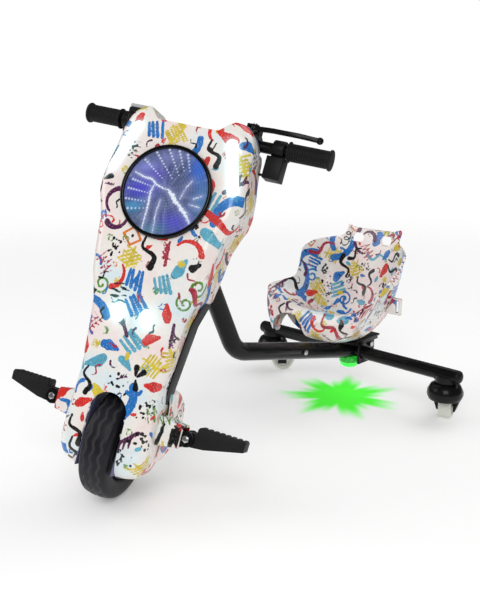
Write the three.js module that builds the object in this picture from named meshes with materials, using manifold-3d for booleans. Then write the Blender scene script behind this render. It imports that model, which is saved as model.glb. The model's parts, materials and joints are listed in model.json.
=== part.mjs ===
// Three-wheeled electric drift scooter: a driven and steered front wheel under a moulded shell,
// a bent main tube, a cross tube on two swivel casters, and a bucket seat.
// Millimetres, +Z up, front towards -Y, the rider's left towards +X.
import * as THREE from 'three';
import { mergeVertices } from 'three/addons/utils/BufferGeometryUtils.js';
import Module from 'manifold-3d';

const wasm = await Module();
wasm.setup();

// Clearances
const gap = 0.3;
const overrun = 6;

// Counts of flat sides on round pieces
const sides = { tyre: 32, tube: 18, small: 12, bolt: 6 };

// Steering column: its axis passes through the wheel centre
const steering = { rakeDeg: 22.5, restDeg: 25 };

// Front wheel
const tyre = { radius: 105, halfWidth: 29, beadRadius: 66, beadHalfWidth: 21, shoulder: 7 };
const hub = { coverRadius: 52, coverHalfWidth: 29, bossRadius: 20, bossHalfWidth: 43.4 };
const axle = { radius: 6, halfLength: 67, nutRadius: 12, nutThickness: 9 };

// Fork, from the legs up to the steerer tube
const fork = {
  legInner: 44, legThickness: 10, legDepth: 30, legDrop: 18, crownBottom: 138, crownTop: 152, crownDepth: 34,
  steererRadius: 14, steererBore: 10, collarRadius: 22, collarHeight: 9,
};
const headTube = { bottom: 390, radius: 25, bore: 18, bearingHeight: 13, bearingRadius: 26, joinShare: 0.53 };

// Foot pegs: hinge bolt, clevis and tread
const peg = {
  hingeX: 140.8, hingeForward: 19, hingeHeight: 50.5, armHeight: 22, armDepth: 20,
  earThickness: 4.5, earRadius: 15, earHalfHeight: 11, knuckleWidth: 25, knuckleRadius: 13.5,
  length: 105, depth: 30, treadStart: 17, treadTop: 27, tipBottom: 5, tipTop: 25, rootBottom: -13, toothHeight: 4, boltRadius: 4,
  headRadius: 7, headThickness: 4,
};
const pegToothCount = 8;
const pegSweepShare = 0.154;

// Moulded front shell around the column
const shell = {
  drop: 51, rise: 626, halfWidth: 142, front: 102.4, wall: 3.5, corner: 18, crown: 2, sideTaper: 5,
  openBack: 90, wheelSlotHalfWidth: 38, wheelSlotTop: 97, dipHalfWidth: 58, dipSlope: 14, dipDepth: 26,
  barRoomInner: 50,
};
const shellRowShares = [
  // height, half width, front face and back edge, as shares of the shell's height, half width and front
  [0, 0.37, 0.56, 0.1], [0.006, 0.48, 0.64, 0], [0.02, 0.55, 0.73, -0.055],
  [0.043, 0.6, 0.785, -0.055], [0.075, 0.62, 0.82, -0.055], [0.12, 0.615, 0.845, -0.055],
  [0.165, 0.6, 0.855, -0.055], [0.215, 0.592, 0.86, -0.055],
  [0.26, 0.58, 0.87, 0.273], [0.313, 0.606, 0.88, 0.273], [0.378, 0.627, 0.908, 0.273],
  [0.445, 0.655, 0.938, 0.273],
  [0.494, 0.72, 0.962, 0.273], [0.518, 0.76, 0.972, -0.117], [0.578, 0.803, 0.986, -0.117],
  [0.637, 0.835, 1, -0.117],
  [0.663, 0.85, 0.989, -0.117], [0.703, 0.915, 0.974, -0.117], [0.737, 0.982, 0.959, -0.117],
  [0.77, 1, 0.947, -0.117], [0.818, 0.98, 0.928, -0.117], [0.866, 0.94, 0.908, -0.117],
  [0.903, 0.922, 0.893, -0.117], [0.928, 0.915, 0.88, -0.117], [0.959, 0.873, 0.858, -0.117],
  [0.981, 0.824, 0.822, -0.117], [1, 0.735, 0.74, -0.117],
];
const pegBoss = {
  rootX: 78, tipX: 131, rootHalfHeight: 28, tipHalfHeight: 21, rootHalfDepth: 24, tipHalfDepth: 21, wall: 3,
};

// Black back cover and printed rear fender behind the wheel
const cover = { bottom: 97, top: 296, back: 22, wall: 3, corner: 15 };
const fender = { bottom: -29, top: 129, halfWidth: 90, back: 91, wall: 3.5, corner: 26, wheelRoom: 8 };
const fenderRowShares = [
  // height, half width and back, as shares of the fender's height, half width and back
  [0, 0.68, 0.22], [0.035, 0.8, 0.34], [0.12, 0.94, 0.5], [0.2, 0.985, 0.61], [0.43, 1, 0.86], [0.65, 1, 1],
  [0.8, 0.965, 0.94], [0.92, 0.9, 0.72], [1, 0.78, 0.36],
];
const liner = { thickness: 2, front: 80, back: 22, roofRise: 24 };

// Round light in the shell's face, tilted with the face
const disc = {
  height: 470, radius: 87.7, bore: 78.5, rise: 8, holeRadius: 80, cupDepth: 26, cupWall: 2.5,
  lensThickness: 2.5, boardThickness: 4,
};
const strip = { topX: 94, topHeight: 580, bottomX: 120, bottomHeight: 498, halfWidth: 10.5 };
const lamp = { x: 28, height: 240, halfWidth: 14, halfHeight: 19 };

// Power pieces on a plate behind the shell's face
const tray = { forward: 30, thickness: 3, halfWidth: 50, bottom: 160, top: 372, shelfHeight: 258,
  shelfDepth: 46 };
const traySaddle = { halfWidth: 18, height: 20, margin: 12 };
const battery = { halfWidth: 74, depth: 43, discRoom: 22.7 };
const controller = { halfWidth: 44, depth: 30, height: 60, lift: 8 };

// Handlebar and what it carries
const bar = {
  radius: 11, bore: 8.6, halfLength: 247, back: 8, belowHorns: 16.6, belowDeck: 21, bendInner: 57,
  bendOuter: 80,
  bendEase: 4,
};
const stem = { radius: 20, bottomDrop: 47, topDrop: 13, steererDrop: 17, bearingRoom: 8.4,
  clampHalfWidth: 25, clampHalf: 15 };
const grip = { radius: 17, flangeRadius: 20, flangeWidth: 5, outer: 255.5, leftInner: 171, rightInner: 181 };
const display = {
  outer: 163, inner: 129, overhang: 112, halfDepth: 20, drop: 18.4, shelfRise: 11.6, rise: 31.6,
  windowInset: 4,
  windowThickness: 2.4,
};
const throttle = { width: 12, ringRadius: 17.5, paddleReach: 46, paddleHeight: 12, paddleDrop: 14 };
const brake = {
  inner: 90, outer: 112, ringRadius: 18, pivotX: 103, pivotForward: 30, pivotRise: 24,
  bodyHalfHeight: 6.6, pinRadius: 2.5,
  leverThickness: 9, leverReach: 231, leverForward: 30, ballRadius: 7, slotHalf: 4.5,
};
const pod = {
  inner: 136, outer: 170, drop: 16.4, height: 43, halfDepth: 17, clampInner: 141, clampOuter: 165,
  clampRadius: 18,
};
const podButton = { radius: 6, height: 16, rise: 3.5, travelRoom: 4, seat: 7 };
const podRocker = { halfWidth: 9, halfHeight: 5.5, thickness: 6, rise: 2.5, drop: 30 };
const cable = { radius: 2.5, holeRadius: 3.6 };
// The switch cable's hand-laid route from the pod into the shell and down to the controller: x, y, and the
// height as a share of the way up from its low end to its high end
const cableEnds = { belowBar: 53.4, aboveTray: 40 };
const cableRouteShares = [
  [135.6, 2, 1], [128, 2, 1], [118, 1, 0.998], [108, -2, 0.989], [101, -8, 0.961], [98, -14, 0.913],
  [97, -18, 0.843], [96, -20, 0.73], [96, -21, 0.618], [96, -22, 0.506], [95, -22, 0.393], [93, -23, 0.281],
  [89, -26, 0.197], [80, -32, 0.135], [72, -38, 0.093], [66, -44, 0.056], [61, -48, 0.025], [53, -50, 0.004],
  [44.9, -50, 0],
];

// Main tube, cross tube and caster sockets
const mainTube = { radius: 20, bore: 17.5, bendRadius: 62, rearY: 762 };
const mainTubeCorners = { lowY: 317, lowHeight: 209, rearSlopeShare: -0.225 };
const crossTube = { y: 742, height: 114, radius: 16, bore: 13, halfLength: 296, plugDome: 12, plugDepth: 12 };
const socket = { x: 268, radius: 25, bottom: 96.3, bore: 8.4, depth: 112 };
const bracket = { halfWidth: 37, plate: 6, front: 700, rear: 785, top: 151, bottom: 88, sideFront: 722 };
const bracketBolt = { radius: 4, headRadius: 7.5, headThickness: 5, y: 768, height: 132 };
const lockBolt = { y: 530, radius: 4, headRadius: 6.5, headThickness: 4, depth: 8 };
const underLamp = { y: 732, radius: 25, housingBottom: 88, housingTop: 104, lensBottom: 71, lensRadius: 23 };

// Casters: hooded fork on a stem, wheel trailing behind
const caster = {
  wheelRadius: 31.5, wheelHalfWidth: 15, bore: 4.4, axleRadius: 4, trail: 28, stemRadius: 8, stemTop: 110,
  hoodTop: 96, hoodRadius: 42, hoodRim: 56, hoodWall: 3, legOuter: 21.5, legThickness: 4, legBottom: 19,
  legHalfDepth: 14,
  neckRadius: 24, wheelRoom: 3,
};
const casterTurnDeg = { left: 16, right: -46 };

// Seat: pairs of points down the middle and along the edge, as shares of the seat's length and height
const seat = {
  frontY: 571, length: 255, bottomZ: 156.6, height: 262, halfWidth: 150, edgeThickness: 9, plateHeight: 5,
  slotX: 42, slotHalfWidth: 18, slotHalfHeight: 11.5, slotHeight: 388, archX: -72, archHalfWidth: 48,
  archTop: 229, archEnd: 618, legDrop: 64,
};
// The seat's lower skin drops into a leg outside the arch: where it begins and is full on the way out to the
// edge, and where it begins to end and is gone on the way back
const seatLeg = { begins: 0.42, full: 0.7, ends: 0.05, gone: 0.2 };
const seatEdgePower = 3;
const seatRowShares = [
  // upper skin y and z, lower skin y and z, edge y and z, half width
  [0.035, 0.295, 0.006, 0.26, 0.004, 0.37, 0.86], [0.07, 0.33, 0, 0.17, 0.03, 0.47, 0.97],
  [0.15, 0.32, 0.05, 0.09, 0.11, 0.505, 1], [0.29, 0.265, 0.2, 0.03, 0.24, 0.52, 0.95],
  [0.46, 0.18, 0.38, 0, 0.38, 0.545, 0.89], [0.61, 0.16, 0.56, 0, 0.46, 0.615, 0.92],
  [0.72, 0.22, 0.76, 0.08, 0.53, 0.71, 0.98], [0.8, 0.4, 0.875, 0.3, 0.59, 0.79, 1],
  [0.855, 0.6, 0.92, 0.55, 0.69, 0.845, 0.93], [0.895, 0.76, 0.95, 0.74, 0.81, 0.875, 0.74],
  [0.925, 0.86, 0.97, 0.85, 0.9, 0.9, 0.57], [0.95, 0.93, 0.985, 0.93, 0.955, 0.955, 0.535],
  [0.965, 0.962, 0.995, 0.97, 0.975, 1, 0.535],
];
const seatColumnCount = 12;
const seatRowsPerSpan = 2;
const slider = { halfWidth: 48, front: 702, rear: 792, thickness: 5, lip: 5, lipDrop: 10 };
const beltGuide = { root: 107, reach: 150, y: 722, height: 256, halfHeight: 20, halfDepth: 4,
  slotInner: 136, rim: 6 };

// Plain colours of the finishes
const finish = {
  print: { color: 0xeee9e4, roughness: 0.3, metalness: 0 },
  black: { color: 0x121214, roughness: 0.45, metalness: 0.2 },
  blackPlastic: { color: 0x17171a, roughness: 0.55, metalness: 0 },
  rubber: { color: 0x1c1c1f, roughness: 0.8, metalness: 0 },
  steel: { color: 0xb8babd, roughness: 0.3, metalness: 1 },
  slate: { color: 0x4c5478, roughness: 0.6, metalness: 0 },
  lens: { color: 0xdff6ff, roughness: 0.15, metalness: 0 },
  discLens: { color: 0x5560c8, roughness: 0.05, metalness: 0 },
  grey: { color: 0xb9bcc0, roughness: 0.35, metalness: 0 },
  milk: { color: 0xe6e8e0, roughness: 0.35, metalness: 0 },
  green: { color: 0x39e85a, roughness: 0.2, metalness: 0 },
  battery: { color: 0x2b6fb3, roughness: 0.5, metalness: 0 },
  alloy: { color: 0x8d9095, roughness: 0.4, metalness: 0.8 },
};

const rad = (deg) => THREE.MathUtils.degToRad(deg);
const mix = THREE.MathUtils.lerp;
const { smoothstep } = THREE.MathUtils;

// Heights up the column that follow from the shell's top, each hung from the one above
const dipHeight = shell.rise - shell.dipDepth;
const barHeight = shell.rise - bar.belowHorns;
const barMiddle = dipHeight - bar.belowDeck;
const stemBottom = barMiddle - stem.bottomDrop;
const steererTop = barMiddle - stem.steererDrop;
const headTubeTop = stemBottom - stem.bearingRoom - headTube.bearingHeight - gap * 2;
const podTop = barHeight - pod.drop;
const cableRoute = cableRouteShares.map(([x, y, share]) => [
  x, y, mix(tray.bottom + cableEnds.aboveTray, barHeight - cableEnds.belowBar, share),
]);

// Two ends of a span on one side of the middle, the lower first
const span = (side, near, far) => [side * near, side * far].sort((a, b) => a - b);

// Geometry to solid and back

function solidOf(geometry) {
  const bare = geometry.clone();
  bare.deleteAttribute('normal');
  bare.deleteAttribute('uv');
  const merged = mergeVertices(bare);
  const points = merged.attributes.position;
  const kept = [];
  const corner = [new THREE.Vector3(), new THREE.Vector3(), new THREE.Vector3()];
  let volume = 0;
  for (let i = 0; i < merged.index.count; i += 3) {
    const face = [0, 1, 2].map((k) => merged.index.getX(i + k));
    if (new Set(face).size < 3) continue;
    kept.push(face);
    face.forEach((vertex, k) => corner[k].fromBufferAttribute(points, vertex));
    volume += corner[0].dot(corner[1].clone().cross(corner[2]));
  }
  const triVerts = new Uint32Array(kept.map((face) => (volume < 0 ? face.reverse() : face)).flat());
  return new wasm.Manifold(new wasm.Mesh({ numProp: 3, vertProperties: points.array, triVerts }));
}

function geometryOf(solid) {
  const mesh = solid.getMesh();
  const geometry = new THREE.BufferGeometry();
  geometry.setAttribute('position', new THREE.BufferAttribute(mesh.vertProperties, 3));
  geometry.setIndex(new THREE.BufferAttribute(mesh.triVerts, 1));
  geometry.computeVertexNormals();
  return geometry;
}

const joined = (...solids) => solids.reduce((all, one) => all.add(one));
const cut = (solid, ...tools) => tools.reduce((left, tool) => left.subtract(tool), solid);

// Simple solids, placed by their extents

function block(x, y, z) {
  const size = [x, y, z].map(([low, high]) => high - low);
  const middle = [x, y, z].map(([low, high]) => (low + high) / 2);
  return solidOf(new THREE.BoxGeometry(...size).translate(...middle));
}

// A round bar along one axis; at gives the two coordinates across it
function rod(axis, radius, from, to, at = [0, 0], flats = sides.tube) {
  const geometry = new THREE.CylinderGeometry(radius, radius, to - from, flats);
  geometry.translate(0, (from + to) / 2, 0);
  if (axis === 'x') geometry.rotateZ(-Math.PI / 2).translate(0, at[0], at[1]);
  if (axis === 'y') geometry.translate(at[0], 0, at[1]);
  if (axis === 'z') geometry.rotateX(Math.PI / 2).translate(at[0], at[1], 0);
  return solidOf(geometry);
}

// A turned body: profile of [radius, position] pairs, closed on the axis or on itself
function turned(axis, profile, flats = sides.tube) {
  const geometry = new THREE.LatheGeometry(profile.map(([r, along]) => new THREE.Vector2(r, along)), flats);
  if (axis === 'x') geometry.rotateZ(-Math.PI / 2);
  if (axis === 'z') geometry.rotateX(Math.PI / 2);
  return geometry;
}

// A flat outline, [x, z] pairs, drawn out along y
function slab(outline, from, to) {
  const shape = new THREE.Shape(outline.map(([x, z]) => new THREE.Vector2(x, z)));
  const geometry = new THREE.ExtrudeGeometry(shape, { depth: to - from, bevelEnabled: false });
  return solidOf(geometry.rotateX(Math.PI / 2).translate(0, to, 0));
}

// A pipe with one ring of faces at each point of its path
function pipe(points, radius, flats) {
  const path = new THREE.CatmullRomCurve3(points);
  path.getUtoTmapping = (share) => share;
  const section = new THREE.Shape(
    Array.from({ length: flats }, (_, i) => {
      const turn = (2 * Math.PI * i) / flats;
      return new THREE.Vector2(radius * Math.cos(turn), radius * Math.sin(turn));
    }),
  );
  return new THREE.ExtrudeGeometry(section, { extrudePath: path, steps: points.length - 1,
    bevelEnabled: false });
}

// A body skinned over rings of equal point counts, closed by a fan at each end
function loft(rings) {
  const size = rings[0].length;
  const points = rings.flat();
  const faces = [];
  for (let row = 0; row < rings.length - 1; row += 1) {
    for (let i = 0; i < size; i += 1) {
      const next = (i + 1) % size;
      const [a, b, c, d] = [row * size + i, row * size + next, (row + 1) * size + i, (row + 1) * size + next];
      faces.push([a, b, d], [a, d, c]);
    }
  }
  [0, rings.length - 1].forEach((row) => {
    const middle = points.length;
    const centre = rings[row].reduce((sum, p) => sum.add(p), new THREE.Vector3()).divideScalar(size);
    points.push(centre);
    for (let i = 0; i < size; i += 1) {
      const [a, b] = [row * size + i, row * size + ((i + 1) % size)];
      faces.push(row ? [a, b, middle] : [b, a, middle]);
    }
  });
  const geometry = new THREE.BufferGeometry().setFromPoints(points);
  geometry.setIndex(faces.flat());
  return solidOf(geometry);
}

// A closed ring at one height: a face with rounded corners, and straight sides to the open end.
// Forward distances run towards -y.
function bowRing(height, halfWidth, face, open, corner, crown, sideTaper) {
  const facing = Math.sign(face - open);
  const arcSteps = 3;
  const flatSteps = 2;
  const round = Math.min(corner, halfWidth / 2, Math.abs(face - open) / 2);
  const half = [[halfWidth - sideTaper, open]];
  for (let i = 0; i <= arcSteps; i += 1) {
    const turn = (Math.PI / 2) * (i / arcSteps);
    const across = halfWidth - round + round * Math.cos(turn);
    half.push([across, face - facing * (crown + round - round * Math.sin(turn))]);
  }
  const middle = [];
  for (let i = 1; i < flatSteps; i += 1) {
    const share = 1 - (2 * i) / flatSteps;
    middle.push([(halfWidth - round) * share, face - facing * crown * share * share]);
  }
  const mirrored = half.map(([x, forward]) => [-x, forward]).reverse();
  return [...half, ...middle, ...mirrored].map(([x, forward]) => new THREE.Vector3(x, -forward, height));
}

const parts = new THREE.Group();
const column = new THREE.Group();

function piece(group, name, solid, look) {
  const mesh = new THREE.Mesh(geometryOf(solid), new THREE.MeshStandardMaterial(finish[look]));
  mesh.name = name;
  group.add(mesh);
  return mesh;
}

// Front wheel, in the column's frame: the axle lies along x through the origin

function tyreBody() {
  const { radius, halfWidth, beadRadius, beadHalfWidth, shoulder } = tyre;
  const bulge = mix(beadRadius, radius, 0.42);
  const crownEdge = halfWidth - shoulder;
  const side = [
    [beadRadius, beadHalfWidth], [mix(beadRadius, bulge, 0.4), mix(beadHalfWidth, halfWidth, 0.8)],
    [bulge, halfWidth],
    [radius - shoulder * 1.5, halfWidth - shoulder / 3], [radius - shoulder / 2, crownEdge],
    [radius - shoulder / 8, crownEdge / 2],
  ];
  const across = side.map(([r, x]) => [r, -x]).reverse();
  return solidOf(turned('x', [...side, [radius, 0], ...across, side[0]], sides.tyre));
}

function hubBody() {
  const { coverRadius, coverHalfWidth, bossRadius, bossHalfWidth } = hub;
  const bore = axle.radius + gap;
  const rimRadius = tyre.beadRadius - gap;
  const half = [
    [bore, bossHalfWidth], [bossRadius, bossHalfWidth], [bossRadius, coverHalfWidth], [coverRadius,
    coverHalfWidth - gap],
    [rimRadius, tyre.beadHalfWidth - gap],
  ];
  const other = half.map(([r, x]) => [r, -x]).reverse();
  return solidOf(turned('x', [...half, ...other, half[0]], sides.tyre));
}

function axleBody() {
  return rod('x', axle.radius, -axle.halfLength, axle.halfLength, [0, 0], sides.small);
}

function axleNutBody(side) {
  const near = fork.legInner + fork.legThickness + gap;
  const [from, to] = span(side, near, near + axle.nutThickness);
  const nut = rod('x', axle.nutRadius, from, to, [0, 0], sides.bolt);
  return cut(nut, rod('x', axle.radius + gap, from - overrun, to + overrun, [0, 0], sides.small));
}

// Fork with its peg clevises

function forkBody() {
  const { legInner, legThickness, legDepth, legDrop, crownBottom, crownTop, crownDepth } = fork;
  const legOuter = legInner + legThickness;
  const collarTop = headTube.bottom - headTube.bearingHeight - gap * 2;
  const solids = [
    block([-legOuter, legOuter], [-crownDepth / 2, crownDepth / 2], [crownBottom, crownTop]),
    rod('z', fork.steererRadius, crownBottom, steererTop),
    rod('z', fork.collarRadius, collarTop - fork.collarHeight, collarTop),
  ];
  const tools = [rod('z', fork.steererBore, crownBottom - overrun, steererTop + overrun, [0, 0],
    sides.small)];
  for (const side of [-1, 1]) {
    const leg = span(side, legInner, legOuter);
    solids.push(block(leg, [-legDepth / 2, legDepth / 2], [0, crownTop]));
    solids.push(rod('x', legDrop, ...leg, [0, 0]));
    const reach = span(side, mix(legInner, legOuter, 0.5), peg.hingeX - peg.knuckleRadius - gap * 2);
    const depth = [-peg.hingeForward - peg.armDepth / 2, -peg.hingeForward + peg.armDepth / 2];
    const height = [peg.hingeHeight - peg.armHeight / 2, peg.hingeHeight + peg.armHeight / 2];
    solids.push(block(reach, depth, height));
    solids.push(...pegEars(side));
    tools.push(rod('y', peg.boltRadius + gap, -peg.hingeForward - peg.depth, -peg.hingeForward + peg.depth,
      [side * peg.hingeX, peg.hingeHeight], sides.small));
  }
  tools.push(rod('x', axle.radius + gap, -legOuter - overrun, legOuter + overrun, [0, 0], sides.small));
  return cut(joined(...solids), ...tools);
}

function pegEars(side) {
  const near = peg.knuckleWidth / 2 + gap;
  const root = peg.hingeX - peg.knuckleRadius - gap * 2 - peg.earThickness;
  const reach = span(side, root, peg.hingeX);
  const height = [peg.hingeHeight - peg.earHalfHeight, peg.hingeHeight + peg.earHalfHeight];
  const solids = [];
  for (const face of [-1, 1]) {
    const depth = span(face, near, near + peg.earThickness).map((along) => along - peg.hingeForward);
    solids.push(block(reach, depth, height));
    solids.push(rod('y', peg.earRadius, ...depth, [side * peg.hingeX, peg.hingeHeight], sides.small));
  }
  const outer = near + peg.earThickness;
  const across = [-peg.hingeForward - outer, -peg.hingeForward + outer];
  solids.push(block(span(side, root, root + peg.earThickness), across, height));
  return solids;
}

// A peg in its own frame: the hinge axis is y, the tread reaches along +x or -x
function pegBody(side) {
  const { knuckleRadius, treadStart, treadTop, length, tipBottom, tipTop, rootBottom, toothHeight } = peg;
  const outline = [
    [0, rootBottom], [treadStart * 2, rootBottom * 0.8], [length - 2 * gap, tipBottom], [length,
    tipTop - toothHeight],
  ];
  const pitch = (length - treadStart) / pegToothCount;
  for (let tooth = pegToothCount; tooth > 0; tooth -= 1) {
    const start = treadStart + pitch * (tooth - 1);
    const level = mix(treadTop, tipTop, tooth / pegToothCount);
    outline.push([start + pitch * 0.72, level], [start + pitch * 0.22, level], [start, level - toothHeight]);
  }
  outline.push([treadStart - gap, knuckleRadius], [0, knuckleRadius]);
  const solid = joined(
    slab(outline.map(([x, z]) => [side * x, z]), -peg.depth / 2, peg.depth / 2),
    rod('y', knuckleRadius, -peg.knuckleWidth / 2, peg.knuckleWidth / 2, [0, 0], sides.small),
  );
  const cheek = peg.earRadius + gap * 2;
  const tools = [rod('y', peg.boltRadius + gap, -peg.depth, peg.depth, [0, 0], sides.small)];
  for (const face of [-1, 1]) {
    tools.push(rod('y', cheek, ...span(face, peg.knuckleWidth / 2, peg.depth), [0, 0], sides.tube));
  }
  const geometry = geometryOf(cut(solid, ...tools));
  const points = geometry.attributes.position;
  for (let i = 0; i < points.count; i += 1) {
    const reach = Math.max(0, side * points.getX(i) - cheek);
    points.setY(i, points.getY(i) + reach * pegSweepShare);
  }
  return solidOf(geometry);
}

function pegBoltBody() {
  const half = peg.knuckleWidth / 2 + gap + peg.earThickness + gap;
  return joined(
    rod('y', peg.boltRadius, -half - gap, half + gap, [0, 0], sides.small),
    rod('y', peg.headRadius, -half - peg.headThickness, -half, [0, 0], sides.bolt),
    rod('y', peg.headRadius, half, half + peg.headThickness, [0, 0], sides.bolt),
  );
}

// Shell rows in millimetres: height, half width, front face, back edge
const shellRows = shellRowShares.map(([heightShare, widthShare, frontShare, backShare]) => [
  heightShare * (shell.drop + shell.rise) - shell.drop, widthShare * shell.halfWidth,
    frontShare * shell.front,
  backShare * shell.front,
]);

// The row at any height of the shell, between the rows that bound it
function shellRowAt(level) {
  const first = shellRows.findIndex(([rowLevel]) => rowLevel >= level);
  const above = THREE.MathUtils.clamp(first, 1, shellRows.length - 1);
  const [low, high] = [shellRows[above - 1], shellRows[above]];
  const share = (level - low[0]) / (high[0] - low[0]);
  return low.map((value, i) => mix(value, high[i], share));
}

function shellLevels(bottom, top) {
  const between = shellRows.map(([level]) => level).filter((level) => level > bottom + gap && level < top - gap);
  return [bottom, ...between, top];
}

// The shell's outline, grown outwards or shrunk inwards on every side
function shellBody(grow, back) {
  const rings = shellLevels(-shell.drop - grow, shell.rise + grow).map((level) => {
    const inside = THREE.MathUtils.clamp(level, -shell.drop, shell.rise);
    const [, halfWidth, front, backEdge] = shellRowAt(inside);
    const open = back ?? backEdge - grow;
    return bowRing(level, halfWidth + grow, front + grow, open, shell.corner + grow, shell.crown,
      shell.sideTaper);
  });
  return loft(rings);
}

// The dip between the shell's two horns, grown outwards on every side
function dipPrism(grow) {
  const { dipHalfWidth, dipSlope, rise, halfWidth } = shell;
  const foot = dipHalfWidth + grow;
  const head = foot + dipSlope;
  const outline = [[-foot, dipHeight - grow], [foot, dipHeight - grow], [head, rise + overrun], [-head,
    rise + overrun]];
  return slab(outline, -halfWidth, halfWidth);
}

// The shell's wall before any opening is cut, with a deck across the dip
function shellSkin() {
  const outside = cut(shellBody(0), dipPrism(0));
  const inside = cut(shellBody(-shell.wall, -shell.openBack), dipPrism(shell.wall));
  return cut(outside, inside);
}

function stadium(from, to, halfWidth) {
  const along = new THREE.Vector2(to[0] - from[0], to[1] - from[1]).normalize();
  const turn = Math.atan2(along.y, along.x);
  const steps = 6;
  const outline = [];
  [[to, turn - Math.PI / 2], [from, turn + Math.PI / 2]].forEach(([centre, start]) => {
    for (let i = 0; i <= steps; i += 1) {
      const angle = start + (Math.PI * i) / steps;
      outline.push([centre[0] + halfWidth * Math.cos(angle), centre[1] + halfWidth * Math.sin(angle)]);
    }
  });
  return outline;
}

function stripPrism(side, grow) {
  const bottom = [side * strip.bottomX, strip.bottomHeight];
  const top = [side * strip.topX, strip.topHeight];
  return slab(stadium(bottom, top, strip.halfWidth + grow), -shell.front - overrun, -shell.front / 2);
}

function lampPrism(side, grow) {
  const steps = 20;
  const outline = Array.from({ length: steps }, (_, i) => {
    const angle = (2 * Math.PI * i) / steps;
    const across = (lamp.halfWidth + grow) * Math.cos(angle);
    return [side * lamp.x + across, lamp.height + (lamp.halfHeight + grow) * Math.sin(angle)];
  });
  return slab(outline, -shell.front - overrun, -shell.front / 2);
}

// A turned solid whose axis is the disc light's own: z runs out of the shell's face, at the face's own slope
function onDisc(profile, flats = sides.tyre) {
  const [below, level, above] = [-disc.radius, 0,
    disc.radius].map((along) => shellRowAt(disc.height + along)[2]);
  const tilt = Math.atan2(below - above, disc.radius * 2);
  const geometry = turned('z', profile, flats);
  geometry.rotateX(Math.PI / 2 - tilt);
  geometry.translate(0, -level, disc.height);
  return solidOf(geometry);
}

const discPlate = (radius, from, to) => onDisc([[0, from], [radius, from], [radius, to], [0, to]]);

function wheelSlotOutline(grow) {
  const { wheelSlotHalfWidth, wheelSlotTop } = shell;
  const half = wheelSlotHalfWidth + grow;
  const arc = Array.from({ length: 9 }, (_, i) => {
    const angle = (Math.PI * i) / 8;
    return [half * Math.cos(angle), wheelSlotTop - wheelSlotHalfWidth + half * Math.sin(angle)];
  });
  return [[half, -shell.drop - overrun], ...arc, [-half, -shell.drop - overrun]];
}

function pegBossRing(side, x, halfHeight, halfDepth, grow) {
  const [h, d] = [halfHeight + grow, halfDepth + grow];
  const chamfer = pegBoss.wall;
  const corners = [
    [d, h - chamfer], [d - chamfer, h], [-d + chamfer, h], [-d, h - chamfer], [-d, -h + chamfer],
    [-d + chamfer, -h],
    [d - chamfer, -h], [d, -h + chamfer],
  ];
  return corners.map(([y, z]) => new THREE.Vector3(side * x, y - peg.hingeForward, z + peg.hingeHeight));
}

function pegBossBody(side, grow, reach) {
  const { rootX, tipX, rootHalfHeight, tipHalfHeight, rootHalfDepth, tipHalfDepth } = pegBoss;
  return loft([
    pegBossRing(side, rootX - reach, rootHalfHeight, rootHalfDepth, grow),
    pegBossRing(side, rootX, rootHalfHeight, rootHalfDepth, grow),
    pegBossRing(side, tipX + reach, tipHalfHeight, tipHalfDepth, grow),
  ]);
}

function frontShellBody() {
  const inside = cut(shellBody(-shell.wall / 2));
  const bosses = [-1, 1].map((side) => pegBossBody(side, 0, 0).subtract(inside));
  const [, cableY, cableZ] = cableRoute[0];
  const tools = [
    slab(wheelSlotOutline(0), -shell.halfWidth, shell.halfWidth),
    discPlate(disc.holeRadius, -disc.cupDepth * 2, disc.rise + overrun),
    rod('x', cable.holeRadius, shell.halfWidth / 2, shell.halfWidth + overrun, [cableY, cableZ], sides.small),
  ];
  const barRoomDepth = [bar.back - grip.flangeRadius, shell.openBack];
  const barRoomHeight = [barHeight - grip.flangeRadius, shell.rise + overrun];
  for (const side of [-1, 1]) {
    const barRoom = block(span(side, shell.barRoomInner, shell.halfWidth + overrun), barRoomDepth,
      barRoomHeight);
    tools.push(barRoom, stripPrism(side, gap), lampPrism(side, gap), pegBossBody(side, -pegBoss.wall,
      overrun * 2));
  }
  return cut(joined(shellSkin(), ...bosses), ...tools);
}

function stripLensBody(side) {
  return shellSkin().intersect(stripPrism(side, 0));
}

function lampLensBody(side) {
  return shellSkin().intersect(lampPrism(side, 0));
}

// The fender starts just behind the shell's lower back edge
const fenderFront = shellRowAt(0)[3] - gap;

// The fender's outline, closed and grown as the shell's is
function fenderBody(grow, front) {
  const height = fender.top - fender.bottom;
  const rings = fenderRowShares.map(([heightShare, widthShare, backShare]) => {
    const halfWidth = widthShare * fender.halfWidth + grow;
    const back = -backShare * fender.back - grow;
    return bowRing(fender.bottom + heightShare * height, halfWidth, back, front, fender.corner + grow, 0, 0);
  });
  rings[0].forEach((p) => p.setZ(fender.bottom - grow));
  rings.at(-1).forEach((p) => p.setZ(fender.top + grow));
  return loft(rings);
}

function rearFenderBody() {
  const hollow = fenderBody(-fender.wall, 0);
  const half = shell.wheelSlotHalfWidth;
  const wheelRoom = rod('x', tyre.radius + fender.wheelRoom, -half, half, [0, 0], sides.tyre);
  const legReach = fork.legInner + fork.legThickness + gap * 4;
  const legDepth = [-overrun, fork.legDepth / 2 + gap * 2];
  const legRoom = block([-legReach, legReach], legDepth, [tyre.radius, fender.top + overrun]);
  return cut(fenderBody(0, fenderFront), hollow, wheelRoom, legRoom);
}

// The back cover follows the shell's width, with its own flat back
function coverRings(grow, face, open) {
  return shellLevels(cover.bottom, cover.top).map((level) => {
    const halfWidth = shellRowAt(level)[1] - shell.sideTaper / 2 + grow;
    return bowRing(level, halfWidth, face, open, cover.corner + grow, 0, 0);
  });
}

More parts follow.
